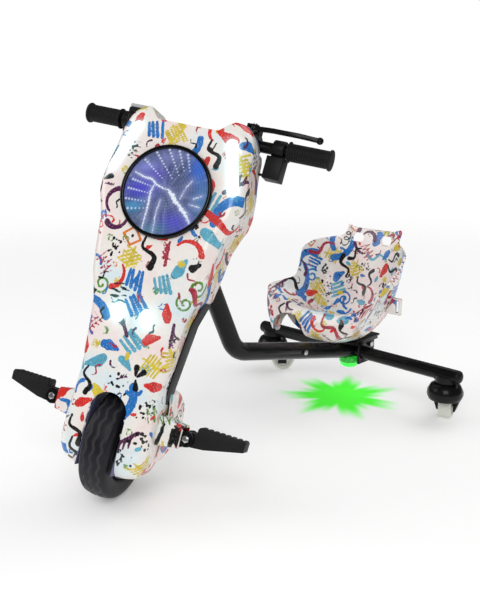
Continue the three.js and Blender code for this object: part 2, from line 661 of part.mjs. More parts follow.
function backCoverBody() {
  const open = shell.front / 2;
  const outer = loft(coverRings(0, -cover.back, open));
  const inner = coverRings(-cover.wall, -cover.back + cover.wall, open + overrun);
  inner[0].forEach((p) => p.setZ(cover.bottom - overrun));
  inner.at(-1).forEach((p) => p.setZ(cover.top + overrun));
  const frontEdge = shellRowAt(mix(cover.bottom, cover.top, 0.5))[3] - gap;
  const height = [cover.bottom - overrun, cover.top + overrun];
  const ahead = block([-shell.halfWidth, shell.halfWidth], [-shell.front, -frontEdge], height);
  const fenderRoom = fenderBody(gap * 2, fenderFront);
  return cut(outer, loft(inner), ahead, shellBody(gap), fenderRoom);
}

// An arched channel around the front of the tyre
function wheelLinerBody() {
  const station = (forward, lift, grow) =>
    wheelSlotOutline(grow).map(([x, z]) => new THREE.Vector3(x, -forward, z + (z > 0 ? lift : 0)));
  const stations = (grow, reach) => [
    station(liner.front + reach, 0, grow), station(mix(liner.front, liner.back, 0.35),
      liner.roofRise * 0.7, grow),
    station(liner.back - reach, liner.roofRise, grow),
  ];
  const outer = loft(stations(-gap, 0));
  const inner = loft(stations(-gap - liner.thickness, overrun));
  const { halfWidth, drop, wall } = shell;
  const floor = block([-halfWidth, halfWidth], [-halfWidth, 0], [-halfWidth, -drop + wall + gap]);
  return cut(outer, inner, floor);
}

// Round light

function discBezelBody() {
  const { radius, bore, rise } = disc;
  const profile = [
    [bore, gap], [radius, gap], [radius, rise * 0.55], [radius - rise * 0.3, rise * 0.9],
    [radius - rise * 0.7, rise],
    [bore, rise * 0.75], [bore, gap],
  ];
  return onDisc(profile);
}

function discCupBody() {
  const outer = discPlate(disc.holeRadius - gap, -disc.cupDepth, 0);
  return outer.subtract(discPlate(disc.holeRadius - gap - disc.cupWall, -disc.cupDepth + disc.cupWall,
    overrun));
}

function discBoardBody() {
  const floor = -disc.cupDepth + disc.cupWall + gap;
  return discPlate(disc.holeRadius - disc.cupWall - gap * 2, floor, floor + disc.boardThickness);
}

function discLensBody() {
  return discPlate(disc.bore - gap, gap, gap + disc.lensThickness);
}

// Tray with its saddles, battery and controller

function trayBody() {
  const { forward, thickness, halfWidth, bottom, top, shelfHeight, shelfDepth } = tray;
  const saddleDepth = [-forward - thickness / 2, 0];
  const saddle = (low) =>
    block([-traySaddle.halfWidth, traySaddle.halfWidth], saddleDepth, [low, low + traySaddle.height]);
  const solid = joined(
    block([-halfWidth, halfWidth], [-forward - thickness, -forward], [bottom, top]),
    block([-halfWidth, halfWidth], [-forward - shelfDepth, -forward], [shelfHeight, shelfHeight + thickness]),
    saddle(bottom + traySaddle.margin),
    saddle(top - traySaddle.margin - traySaddle.height),
  );
  return solid.subtract(rod('z', fork.steererRadius + gap, bottom - overrun, top + overrun));
}

function batteryBody() {
  const face = -tray.forward - tray.thickness - gap;
  const floor = tray.shelfHeight + tray.thickness + gap;
  const top = disc.height - disc.holeRadius - battery.discRoom;
  return block([-battery.halfWidth, battery.halfWidth], [face - battery.depth, face], [floor, top]);
}

function controllerBody() {
  const face = -tray.forward - tray.thickness - gap;
  const floor = tray.bottom + controller.lift;
  const across = [-controller.halfWidth, controller.halfWidth];
  return block(across, [face - controller.depth, face], [floor, floor + controller.height]);
}

// Handlebar pieces, in the column's frame

const barAt = [bar.back, barHeight];

// The bar's centre line: straight ends, and a middle that passes under the shell's deck
function barRoute(reach) {
  const { halfLength, back, bendInner, bendOuter, bendEase } = bar;
  const half = [
    [halfLength + reach, barHeight], [bendOuter + bendEase, barHeight], [bendOuter, mix(barHeight,
    barMiddle, 0.08)],
    [bendInner, mix(barHeight, barMiddle, 0.92)], [bendInner - bendEase, barMiddle],
  ];
  const other = half.map(([x, z]) => [-x, z]).reverse();
  return [...half, ...other].map(([x, z]) => new THREE.Vector3(x, back, z));
}

function barBody() {
  const tube = solidOf(pipe(barRoute(0), bar.radius, sides.tube));
  return tube.subtract(solidOf(pipe(barRoute(overrun), bar.bore, sides.small)));
}

function stemBody() {
  const { radius, topDrop, clampHalfWidth, clampHalf } = stem;
  const clampDepth = [bar.back - clampHalf, bar.back + clampHalf];
  const solid = joined(
    rod('z', radius, stemBottom, barMiddle - topDrop),
    block([-clampHalfWidth, clampHalfWidth], clampDepth, [barMiddle - clampHalf, barMiddle + clampHalf]),
  );
  return cut(
    solid,
    rod('z', fork.steererRadius + gap, stemBottom - overrun, steererTop + gap),
    rod('x', bar.radius + gap, -clampHalfWidth - overrun, clampHalfWidth + overrun, [bar.back, barMiddle]),
  );
}

function gripBody(side, inner) {
  const solid = joined(
    rod('x', grip.radius, ...span(side, inner, grip.outer), barAt),
    rod('x', grip.flangeRadius, ...span(side, grip.outer - grip.flangeWidth, grip.outer), barAt),
    rod('x', grip.flangeRadius, ...span(side, inner, inner + grip.flangeWidth / 2), barAt),
  );
  return solid.subtract(rod('x', bar.radius + gap, ...span(side, inner - overrun, bar.halfLength + gap),
    barAt));
}

function displayBody() {
  const { outer, inner, overhang, halfDepth, drop, shelfRise, rise, windowInset, windowThickness } = display;
  const depth = [bar.back - halfDepth, bar.back + halfDepth];
  const top = barHeight + rise;
  const solid = joined(
    block([-outer, -inner], depth, [barHeight - drop, top]),
    block([-outer, -overhang], depth, [barHeight + shelfRise, top]),
  );
  const pocketDepth = [depth[0] + windowInset, depth[1] - windowInset];
  const pocketHeight = [top - windowThickness - gap, top + overrun];
  const pocket = block([-outer + windowInset, -overhang - windowInset], pocketDepth, pocketHeight);
  return cut(solid, pocket, rod('x', bar.radius + gap, -outer - overrun, -inner + overrun, barAt));
}

function displayWindowBody() {
  const { outer, overhang, halfDepth, rise, windowInset, windowThickness } = display;
  const inset = windowInset + gap;
  const depth = [bar.back - halfDepth + inset, bar.back + halfDepth - inset];
  const top = barHeight + rise;
  return block([-outer + inset, -overhang - inset], depth, [top - windowThickness, top + gap]);
}

function throttleBody() {
  const from = -display.outer - gap - throttle.width;
  const to = -display.outer - gap;
  const paddleTop = barHeight - bar.radius + gap;
  const paddleEnd = bar.back + throttle.paddleReach;
  const tipHeight = [paddleTop - throttle.paddleDrop - throttle.paddleHeight / 2, paddleTop];
  const solid = joined(
    rod('x', throttle.ringRadius, from, to, barAt),
    block([from, to], [bar.back, paddleEnd], [paddleTop - throttle.paddleHeight, paddleTop]),
    block([from - throttle.width / 2, to], [paddleEnd - throttle.paddleHeight, paddleEnd], tipHeight),
  );
  return solid.subtract(rod('x', bar.radius + gap, from - overrun, to + overrun, barAt));
}

function brakePerchBody() {
  const { inner, outer, ringRadius, pivotX, bodyHalfHeight: half, pinRadius, slotHalf,
    leverThickness } = brake;
  const pivotY = bar.back - brake.pivotForward;
  const pivotZ = barHeight + brake.pivotRise;
  const solid = joined(
    rod('x', ringRadius, inner, outer, barAt),
    block([inner, outer], [pivotY - half, bar.back], [pivotZ - half, pivotZ + half]),
    block([inner, outer], [pivotY / 2, bar.back], [barHeight, pivotZ]),
  );
  const slotDepth = [pivotY - half - overrun, pivotY + leverThickness];
  return cut(
    solid,
    block([pivotX - leverThickness, outer + overrun], slotDepth, [pivotZ - slotHalf, pivotZ + slotHalf]),
    rod('z', pinRadius + gap, pivotZ - half * 2, pivotZ + half * 2, [pivotX, pivotY], sides.small),
    rod('x', bar.radius + gap, inner - overrun, outer + overrun, barAt),
  );
}

function leverPinBody() {
  const { pivotForward, pivotRise, bodyHalfHeight, pinRadius, pivotX } = brake;
  const z = barHeight + pivotRise;
  const half = bodyHalfHeight;
  const at = [pivotX, bar.back - pivotForward];
  return joined(
    rod('z', pinRadius, z - half - gap, z + half + gap, at, sides.small),
    rod('z', pinRadius * 1.8, z + half + gap, z + half + gap + pinRadius, at, sides.small),
  );
}

// The lever pivots about a vertical pin and reaches out in front of the grip
function brakeLeverBody() {
  const { pivotX, pivotForward, pivotRise, slotHalf, leverThickness, leverReach, leverForward,
    pinRadius } = brake;
  const z = barHeight + pivotRise;
  const root = bar.back - pivotForward;
  const tip = bar.back - leverForward;
  const half = slotHalf - gap * 2;
  const wide = leverThickness / 2;
  const bow = leverThickness * 0.8;
  const [near, far] = [mix(pivotX, leverReach, 0.3), mix(pivotX, leverReach, 0.7)];
  const farMiddle = mix(root, tip, 0.7);
  const outline = [
    [pivotX, root - wide], [near, root - wide - bow], [far, farMiddle - wide - bow], [leverReach,
    tip - wide * 0.8],
    [leverReach, tip + wide * 0.8], [far, farMiddle + wide - bow], [near, root + wide - bow], [pivotX,
    root + wide],
  ];
  const shape = new THREE.Shape(outline.map(([x, y]) => new THREE.Vector2(x, y)));
  const flat = new THREE.ExtrudeGeometry(shape, { depth: half * 2, bevelEnabled: false });
  const blade = solidOf(flat.translate(0, 0, z - half));
  const sphere = new THREE.SphereGeometry(brake.ballRadius, sides.small, sides.small / 2);
  const ball = solidOf(sphere.translate(leverReach, tip, z));
  const solid = joined(blade, rod('z', leverThickness * 0.8, z - half, z + half, [pivotX, root],
    sides.small), ball);
  return solid.subtract(rod('z', pinRadius + gap, z - half - overrun, z + half + overrun, [pivotX, root],
    sides.small));
}

function podBody() {
  const { inner, outer, height, halfDepth, clampInner, clampOuter, clampRadius } = pod;
  const faceY = bar.back + halfDepth;
  const middle = (inner + outer) / 2;
  const solid = joined(
    block([inner, outer], [bar.back - halfDepth, faceY], [podTop - height, podTop]),
    rod('x', clampRadius, clampInner, clampOuter, barAt),
  );
  const holeHalf = [podRocker.halfWidth + gap, podRocker.halfHeight + gap];
  const holeHeight = podTop - podRocker.drop;
  const rockerHole = block(
    [middle - holeHalf[0], middle + holeHalf[0]],
    [faceY - podRocker.thickness - gap, faceY + overrun],
    [holeHeight - holeHalf[1], holeHeight + holeHalf[1]],
  );
  const buttonFrom = faceY - podButton.seat - podButton.travelRoom;
  const buttonAt = [middle, podTop - podButton.height];
  return cut(
    solid,
    rod('x', bar.radius + gap, clampInner - overrun * 2, clampOuter + overrun * 2, barAt),
    rod('y', podButton.radius + gap, buttonFrom, faceY + overrun, buttonAt, sides.small),
    rockerHole,
  );
}

function powerButtonBody() {
  const faceY = bar.back + pod.halfDepth;
  const at = [(pod.inner + pod.outer) / 2, podTop - podButton.height];
  return rod('y', podButton.radius, faceY - podButton.seat, faceY + podButton.rise, at, sides.small);
}

function modeRockerBody() {
  const faceY = bar.back + pod.halfDepth;
  const middle = (pod.inner + pod.outer) / 2;
  const { halfWidth, halfHeight, thickness, rise, drop } = podRocker;
  const pivotY = faceY - thickness / 2;
  const [foot, head] = [-thickness * 0.3, thickness * 0.35];
  const outline = [
    [-halfHeight * 0.8, foot], [halfHeight * 0.8, foot], [halfHeight * 0.92, rise + head], [0,
    rise * 0.4 + head],
    [-halfHeight * 0.92, rise + head],
  ];
  const shape = new THREE.Shape(outline.map(([z, y]) => new THREE.Vector2(y, z)));
  const geometry = new THREE.ExtrudeGeometry(shape, { depth: halfWidth * 2 - gap * 2, bevelEnabled: false });
  geometry.translate(0, 0, -halfWidth + gap);
  const [x, y, z] = [new THREE.Vector3(1, 0, 0), new THREE.Vector3(0, 1, 0), new THREE.Vector3(0, 0, 1)];
  geometry.applyMatrix4(new THREE.Matrix4().makeBasis(y, z, x));
  geometry.translate(middle, pivotY, podTop - drop);
  return solidOf(geometry);
}

function cableBody() {
  return solidOf(pipe(cableRoute.map((p) => new THREE.Vector3(...p)), cable.radius, 8));
}

// Frame, in the scooter's own frame

const toColumn = (wheelHeight) =>
  new THREE.Matrix4().makeRotationX(-rad(steering.rakeDeg)).setPosition(0, 0, wheelHeight);

function onColumn(geometry, wheelHeight) {
  return solidOf(geometry.applyMatrix4(toColumn(wheelHeight)));
}

function columnRod(radius, from, to, wheelHeight) {
  return onColumn(turned('z', [[0, from], [radius, from], [radius, to], [0, to]]), wheelHeight);
}

// Centre line of the main tube from the head tube to its rear end
function mainTubePoints(wheelHeight, reach) {
  const join = mix(headTube.bottom, headTubeTop, headTube.joinShare);
  const start = new THREE.Vector3(0, 0, join).applyMatrix4(toColumn(wheelHeight));
  const corner = new THREE.Vector3(0, mainTubeCorners.lowY, mainTubeCorners.lowHeight);
  const rearZ = corner.z + (mainTube.rearY - corner.y) * mainTubeCorners.rearSlopeShare;
  const rear = new THREE.Vector3(0, mainTube.rearY, rearZ);
  const downwards = corner.clone().sub(start).normalize();
  const rearwards = rear.clone().sub(corner).normalize();
  const turn = downwards.angleTo(rearwards);
  const tangent = mainTube.bendRadius * Math.tan(turn / 2);
  const bendStart = corner.clone().addScaledVector(downwards, -tangent);
  const inward = rearwards.clone().sub(downwards).normalize();
  const centre = inward.multiplyScalar(mainTube.bendRadius / Math.cos(turn / 2)).add(corner);
  const steps = 6;
  const arm = bendStart.clone().sub(centre);
  const bend = Array.from({ length: steps + 1 }, (_, i) =>
    arm.clone().applyAxisAngle(new THREE.Vector3(1, 0, 0), (turn * i) / steps).add(centre));
  const lead = start.clone().lerp(bendStart, 0.85);
  const tail = bend.at(-1).clone().lerp(rear, 0.15);
  return [start, lead, ...bend, tail, rear.addScaledVector(rearwards, reach)];
}

function mainFrameBody(wheelHeight) {
  const { radius, bore, halfLength, height } = crossTube;
  const boltFrom = mainTube.radius - lockBolt.depth;
  const solids = [
    solidOf(pipe(mainTubePoints(wheelHeight, 0), mainTube.radius, sides.tube)),
    columnRod(headTube.radius, headTube.bottom, headTubeTop, wheelHeight),
    rod('x', radius, -halfLength, halfLength, [crossTube.y, height]),
  ];
  const tools = [
    solidOf(pipe(mainTubePoints(wheelHeight, overrun), mainTube.bore, sides.small)),
    columnRod(headTube.bore, headTube.bottom - overrun, headTubeTop + overrun, wheelHeight),
    rod('x', bore, -halfLength - overrun, halfLength + overrun, [crossTube.y, height]),
    rod('x', lockBolt.radius + gap, boltFrom, mainTube.radius + overrun, lockBoltAt(), sides.small),
  ];
  for (const side of [-1, 1]) {
    const at = [side * socket.x, crossTube.y];
    solids.push(rod('z', socket.radius, socket.bottom, height, at));
    tools.push(rod('z', socket.bore, socket.bottom - overrun, socket.depth, at, sides.small));
  }
  return cut(joined(...solids), ...tools);
}

function lockBoltAt() {
  const { lowY, lowHeight, rearSlopeShare } = mainTubeCorners;
  return [lockBolt.y, lowHeight + (lockBolt.y - lowY) * rearSlopeShare];
}

function lockBoltBody() {
  const face = mainTube.radius + gap;
  return joined(
    rod('x', lockBolt.radius, mainTube.radius - lockBolt.depth, face, lockBoltAt(), sides.small),
    rod('x', lockBolt.headRadius, face, face + lockBolt.headThickness, lockBoltAt(), sides.bolt),
  );
}

function bearingBody(bottom, wheelHeight) {
  const outer = headTube.bearingRadius;
  const inner = fork.steererRadius + gap * 2;
  const top = bottom + headTube.bearingHeight;
  const profile = [[inner, bottom], [outer, bottom], [outer, top], [inner, top], [inner, bottom]];
  return onColumn(turned('z', profile), wheelHeight);
}

function endPlugBody(side) {
  const { halfLength, plugDome, plugDepth, radius, bore } = crossTube;
  const face = halfLength + gap;
  const profile = [[0, halfLength - plugDepth], [bore - gap, halfLength - plugDepth], [bore - gap, face],
    [radius, face]];
  const steps = 4;
  for (let i = 0; i <= steps; i += 1) {
    const turn = (Math.PI / 2) * (i / steps);
    profile.push([radius * Math.cos(turn), face + plugDome * (0.2 + 0.8 * Math.sin(turn))]);
  }
  profile[profile.length - 1][0] = 0;
  const geometry = turned('x', profile);
  if (side < 0) geometry.rotateZ(Math.PI);
  return solidOf(geometry.translate(0, crossTube.y, crossTube.height));
}

function bracketBody() {
  const { halfWidth, plate, front, rear, top, bottom, sideFront } = bracket;
  const inner = halfWidth - plate;
  const solids = [block([-halfWidth, halfWidth], [front, rear], [top - plate, top])];
  for (const side of [-1, 1]) {
    solids.push(block(span(side, inner, halfWidth), [sideFront, rear], [bottom, top]));
  }
  const boltAt = [bracketBolt.y, bracketBolt.height];
  return cut(
    joined(...solids),
    rod('x', crossTube.radius + gap, -halfWidth - overrun, halfWidth + overrun, [crossTube.y,
      crossTube.height]),
    rod('x', bracketBolt.radius + gap, -halfWidth - overrun, halfWidth + overrun, boltAt, sides.small),
  );
}

function bracketBoltBody() {
  const face = bracket.halfWidth + gap;
  const at = [bracketBolt.y, bracketBolt.height];
  return joined(
    rod('x', bracketBolt.radius, -face - gap, face + gap, at, sides.small),
    rod('x', bracketBolt.headRadius, face, face + bracketBolt.headThickness, at, sides.bolt),
    rod('x', bracketBolt.headRadius, -face - bracketBolt.headThickness, -face, at, sides.bolt),
  );
}

function lampHousingBody(wheelHeight) {
  const at = [0, underLamp.y];
  return cut(
    rod('z', underLamp.radius, underLamp.housingBottom, underLamp.housingTop, at),
    solidOf(pipe(mainTubePoints(wheelHeight, overrun), mainTube.radius + gap, sides.tube)),
    rod('x', crossTube.radius + gap, -bracket.halfWidth, bracket.halfWidth, [crossTube.y, crossTube.height]),
  );
}

function lampDomeBody() {
  const { lensBottom, lensRadius, housingBottom, y } = underLamp;
  const top = housingBottom - gap;
  const profile = [[0, lensBottom]];
  const steps = 4;
  for (let i = 1; i <= steps; i += 1) {
    const turn = (Math.PI / 2) * (i / steps);
    profile.push([lensRadius * Math.sin(turn), top - (top - lensBottom) * (0.15 + 0.85 * Math.cos(turn))]);
  }
  profile[0][1] = lensBottom;
  profile.push([lensRadius, top], [0, top]);
  return solidOf(turned('z', profile).translate(0, y, 0));
}

// Casters, each about its own stem: the wheel trails along +y

function casterForkBody() {
  const { stemRadius, stemTop, hoodRadius, hoodRim, hoodWall, legOuter, legThickness, legBottom } = caster;
  const { trail, legHalfDepth } = caster;
  const top = caster.hoodTop - gap;
  const roof = top - hoodWall * 2;
  const dome = [
    [0, top], [caster.neckRadius, top], [hoodRadius * 0.82, roof], [hoodRadius * 0.97, mix(top, hoodRim,
    0.45)],
    [hoodRadius, mix(top, hoodRim, 0.75)], [hoodRadius * 0.9, hoodRim],
  ];
  const hollow = dome.slice(2).map(([r, z]) => [r - hoodWall, z]).reverse();
  const profile = [...dome, [hollow[0][0], hoodRim], ...hollow.slice(1), [caster.neckRadius * 0.9, roof],
    [0, roof]];
  const solids = [solidOf(turned('z', profile)), rod('z', stemRadius, top - hoodWall, stemTop, [0, 0],
    sides.small)];
  const flare = hoodRadius * 0.84;
  const axleAt = [trail, caster.wheelRadius];
  for (const side of [-1, 1]) {
    const outline = [
      [legOuter - legThickness, legBottom], [legOuter, legBottom], [flare, hoodRim + hoodWall], [flare,
      hoodRim + hoodWall * 3],
      [flare - legThickness, hoodRim + hoodWall * 3], [legOuter - legThickness, mix(legBottom, hoodRim, 0.5)],
    ];
    const leg = outline.map(([x, z]) => [side * x, z]);
    solids.push(slab(leg, trail - legHalfDepth, trail + legHalfDepth * 0.7));
  }
  solids.push(rod('x', caster.axleRadius, -legOuter - 2 * gap, legOuter + 2 * gap, axleAt, sides.small));
  const wheelRoom = caster.wheelHalfWidth + caster.wheelRoom / 2;
  const room = rod('x', caster.wheelRadius + caster.wheelRoom, -wheelRoom, wheelRoom, axleAt);
  return joined(...solids).subtract(cut(room, rod('x', caster.axleRadius, -legOuter, legOuter, axleAt,
    sides.small)));
}

function casterWheelBody() {
  const { wheelRadius, wheelHalfWidth, bore } = caster;
  const crown = wheelRadius * 0.1;
  const half = [
    [bore, wheelHalfWidth * 0.9], [wheelRadius * 0.5, wheelHalfWidth * 0.9], [wheelRadius * 0.62,
    wheelHalfWidth],
    [wheelRadius - crown, wheelHalfWidth], [wheelRadius, wheelHalfWidth * 0.55],
  ];
  const other = half.map(([r, x]) => [r, -x]).reverse();
  return solidOf(turned('x', [...half, ...other, half[0]], sides.tube));
}

// Seat: an upper and a lower skin over rows of shares, sharing a rolled edge

function seatRows() {
  const columns = seatRowShares[0].length;
  const last = seatRowShares.length - 1;
  const rows = [];
  for (let from = 0; from < last; from += 1) {
    const around = [from - 1, from, from + 1, from + 2].map((i) => seatRowShares[THREE.MathUtils.clamp(i,
      0, last)]);
    for (let step = 0; step < seatRowsPerSpan; step += 1) {
      const t = step / seatRowsPerSpan;
      rows.push(Array.from({ length: columns }, (_, k) => {
        const [p, a, b, n] = around.map((row) => row[k]);
        return a + t * ((b - p) / 2 + t * (p - 2.5 * a + 2 * b - n / 2 + t * (1.5 * (a - b) + (n - p) / 2)));
      }));
    }
  }
  rows.push(seatRowShares.at(-1));
  return rows;
}

function seatBody() {
  const skins = seatRows().map(([upY, upZ, lowY, lowZ, edgeY, edgeZ, widthShare]) => {
    const at = (y, z) => [seat.frontY + y * seat.length, seat.bottomZ + z * seat.height];
    const edge = at(edgeY, edgeZ);
    const legLength = seat.legDrop * (1 - smoothstep(lowY, seatLeg.ends, seatLeg.gone));
    const across = (middle, drop, leg) => Array.from({ length: seatColumnCount + 1 }, (_, i) => {
      const u = (2 * i) / seatColumnCount - 1;
      const share = Math.abs(u) ** seatEdgePower;
      const shift = share * drop;
      return new THREE.Vector3(
        u * seat.halfWidth * widthShare,
        mix(middle[0], edge[0] + shift * 0.5, share),
        mix(middle[1], edge[1] - shift * 0.85, share) - leg * smoothstep(-u, seatLeg.begins, seatLeg.full),
      );
    });
    const lower = across(at(lowY, lowZ), seat.edgeThickness, legLength);
    return [...across(at(upY, upZ), 0, 0), ...lower.reverse()];
  });
  const tools = [seatArchTool()];
  const slotReach = seat.slotHalfWidth - seat.slotHalfHeight;
  for (const side of [-1, 1]) {
    const [from, to] = [side * seat.slotX - slotReach, side * seat.slotX + slotReach];
    const outline = stadium([from, seat.slotHeight], [to, seat.slotHeight], seat.slotHalfHeight);
    tools.push(slab(outline, seat.frontY + seat.length / 2, seat.frontY + seat.length * 1.5));
  }
  const plateTop = bracket.top + gap + slider.thickness + gap;
  const around = [seat.frontY - seat.length, seat.frontY + seat.length * 2];
  tools.push(block([-seat.halfWidth, seat.halfWidth], around, [0, plateTop]));
  return cut(loft(skins), ...tools);
}

function seatArchTool() {
  const { archX, archHalfWidth, archTop, archEnd, frontY, bottomZ } = seat;
  const rise = archTop - archHalfWidth * 0.9;
  const arc = Array.from({ length: 11 }, (_, i) => {
    const angle = (Math.PI * i) / 10;
    return [archX + archHalfWidth * Math.cos(angle), rise + archHalfWidth * 0.9 * Math.sin(angle)];
  });
  const foot = bottomZ - overrun;
  return slab([[archX + archHalfWidth, foot], ...arc, [archX - archHalfWidth, foot]], frontY - overrun,
    archEnd);
}

function seatSliderBody() {
  const { halfWidth, front, rear, thickness, lip, lipDrop } = slider;
  const bottom = bracket.top + gap;
  const solids = [block([-halfWidth, halfWidth], [front, rear], [bottom, bottom + thickness])];
  for (const side of [-1, 1]) {
    const inner = bracket.halfWidth + gap * 2;
    solids.push(block(span(side, inner, inner + lip), [front, rear], [bottom - lipDrop, bottom + thickness]));
  }
  return joined(...solids);
}

// A lug on the seat's side, with a slot for a belt
function beltGuideBody() {
  const { root, reach, y, height, halfHeight, halfDepth, slotInner, rim } = beltGuide;
  const lug = block([root, reach], [y - halfDepth, y + halfDepth], [height - halfHeight,
    height + halfHeight]);
  const slot = block([slotInner, reach - rim], [y - halfDepth - overrun, y + halfDepth + overrun],
    [height - halfHeight + rim, height + halfHeight - rim]);
  const bodies = cut(lug, slot, seatBody(), seatBody().translate([gap * 2, 0, 0])).decompose();
  return bodies.reduce((kept, body) => (body.volume() > kept.volume() ? body : kept));
}

// Assembly

function buildColumn() {
  piece(column, 'tyre', tyreBody(), 'rubber');
  piece(column, 'hub_motor', hubBody(), 'black');
  piece(column, 'wheel_axle', axleBody(), 'steel');
  piece(column, 'front_fork', forkBody(), 'black');
  piece(column, 'front_shell', frontShellBody(), 'print');
  piece(column, 'back_cover', backCoverBody(), 'blackPlastic');
  piece(column, 'rear_fender', rearFenderBody(), 'print');
  piece(column, 'wheel_liner', wheelLinerBody(), 'slate');
  piece(column, 'disc_bezel', discBezelBody(), 'blackPlastic');
  piece(column, 'disc_lens', discLensBody(), 'discLens');
  piece(column, 'disc_board', discBoardBody(), 'blackPlastic');
  piece(column, 'disc_cup', discCupBody(), 'blackPlastic');
  piece(column, 'battery_tray', trayBody(), 'alloy');
  piece(column, 'battery_pack', batteryBody(), 'battery');
  piece(column, 'motor_controller', controllerBody(), 'alloy');
  piece(column, 'handlebar_stem', stemBody(), 'black');
  piece(column, 'handlebar', barBody(), 'black');
  piece(column, 'display_housing', displayBody(), 'blackPlastic');
  piece(column, 'display_window', displayWindowBody(), 'grey');
  piece(column, 'thumb_throttle', throttleBody(), 'blackPlastic');
  piece(column, 'brake_perch', brakePerchBody(), 'black');
  piece(column, 'lever_pin', leverPinBody(), 'steel');
  piece(column, 'brake_lever', brakeLeverBody(), 'black');
  piece(column, 'switch_pod', podBody(), 'blackPlastic');
  piece(column, 'power_button', powerButtonBody(), 'grey');
  piece(column, 'mode_rocker', modeRockerBody(), 'blackPlastic');
  piece(column, 'switch_cable', cableBody(), 'rubber');
  for (const [side, word] of [[1, 'left'], [-1, 'right']]) {
    piece(column, `axle_nut_${word}`, axleNutBody(side), 'steel');
    piece(column, `strip_lens_${word}`, stripLensBody(side), 'lens');
    piece(column, `headlamp_lens_${word}`, lampLensBody(side), 'lens');
    piece(column, `grip_${word}`, gripBody(side, side > 0 ? grip.leftInner : grip.rightInner), 'rubber');
    const hinge = new THREE.Group();
    hinge.position.set(side * peg.hingeX, -peg.hingeForward, peg.hingeHeight);
    column.add(hinge);
    piece(hinge, `foot_peg_${word}`, pegBody(side), 'rubber');
    piece(hinge, `peg_bolt_${word}`, pegBoltBody(), 'steel');
  }
}

function buildFrame(wheelHeight) {
  piece(parts, 'main_frame', mainFrameBody(wheelHeight), 'black');
  const lowerBearing = headTube.bottom - headTube.bearingHeight - gap;
  piece(parts, 'lower_head_bearing', bearingBody(lowerBearing, wheelHeight), 'steel');
  piece(parts, 'upper_head_bearing', bearingBody(headTubeTop + gap, wheelHeight), 'steel');
  piece(parts, 'seat_bracket', bracketBody(), 'black');
  piece(parts, 'bracket_bolt', bracketBoltBody(), 'steel');
  piece(parts, 'frame_lock_bolt', lockBoltBody(), 'steel');
  piece(parts, 'under_lamp_housing', lampHousingBody(wheelHeight), 'blackPlastic');
  piece(parts, 'under_lamp_lens', lampDomeBody(), 'green');
  for (const [side, word] of [[1, 'left'], [-1, 'right']]) {
    piece(parts, `end_plug_${word}`, endPlugBody(side), 'blackPlastic');
    const stand = new THREE.Group();
    stand.position.set(side * socket.x, crossTube.y, 0);
    stand.rotation.z = rad(side > 0 ? casterTurnDeg.left : casterTurnDeg.right);
    parts.add(stand);
    piece(stand, `caster_fork_${word}`, casterForkBody(), 'black');
    const wheel = piece(stand, `caster_wheel_${word}`, casterWheelBody(), 'milk');
    wheel.position.set(0, caster.trail, caster.wheelRadius);
  }
  piece(parts, 'seat_shell', seatBody(), 'print');
  piece(parts, 'seat_slider', seatSliderBody(), 'black');
  piece(parts, 'belt_guide', beltGuideBody(), 'blackPlastic');
}

// The column turns about its leaning axis; the leaning tyre then rests on the ground
buildColumn();
column.rotation.set(-rad(steering.rakeDeg), 0, rad(steering.restDeg));
parts.add(column);
parts.updateMatrixWorld(true);
const tyreBox = new THREE.Box3().setFromObject(column.getObjectByName('tyre'), true);
column.position.z = -tyreBox.min.z;
buildFrame(column.position.z);

// The origin is under the middle of the whole scooter
const scooter = new THREE.Group();
scooter.add(parts);
scooter.updateMatrixWorld(true);
const extent = new THREE.Box3().setFromObject(parts, true);
const middle = extent.getCenter(new THREE.Vector3());
parts.position.set(-middle.x, -middle.y, -extent.min.z);

export default scooter;
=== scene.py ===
# Electric drift scooter with a powered front wheel, a printed shell and seat, and two swivel casters
import json
import math
import bmesh
import bpy
import numpy as np
from mathutils import Matrix, Vector


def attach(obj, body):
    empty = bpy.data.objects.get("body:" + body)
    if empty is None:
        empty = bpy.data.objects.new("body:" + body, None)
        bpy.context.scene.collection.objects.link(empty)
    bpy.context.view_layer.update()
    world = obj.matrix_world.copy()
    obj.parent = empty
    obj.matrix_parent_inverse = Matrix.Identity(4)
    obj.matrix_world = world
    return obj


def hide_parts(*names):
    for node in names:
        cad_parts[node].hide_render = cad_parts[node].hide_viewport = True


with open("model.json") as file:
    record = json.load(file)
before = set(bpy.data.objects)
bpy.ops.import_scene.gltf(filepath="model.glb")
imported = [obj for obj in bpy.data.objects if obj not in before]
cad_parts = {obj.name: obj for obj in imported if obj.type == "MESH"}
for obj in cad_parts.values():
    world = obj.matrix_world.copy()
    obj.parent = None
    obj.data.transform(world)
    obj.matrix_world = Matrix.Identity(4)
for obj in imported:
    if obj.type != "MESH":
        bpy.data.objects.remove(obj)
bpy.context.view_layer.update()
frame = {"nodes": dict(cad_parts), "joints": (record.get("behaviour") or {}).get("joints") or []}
nodes = frame["nodes"]
joints = {joint["name"]: joint for joint in frame["joints"]}
mm = 0.001
print("frame loaded", len(nodes), "nodes")


# shared helpers
def linkedObject(name, data):
    obj = bpy.data.objects.new(name, data)
    bpy.context.scene.collection.objects.link(obj)
    return obj


def pick(*objs):
    bpy.ops.object.select_all(action="DESELECT")
    for obj in objs:
        obj.select_set(True)
    if objs:
        bpy.context.view_layer.objects.active = objs[0]


def applyModifier(obj, kind, **values):
    modifier = obj.modifiers.new(kind.lower(), kind)
    for key, value in values.items():
        setattr(modifier, key, value)
    pick(obj)
    bpy.ops.object.modifier_apply(modifier=modifier.name)


def shadeSmooth(obj, angle):
    pick(obj)
    bpy.ops.object.shade_smooth_by_angle(angle=math.radians(angle))


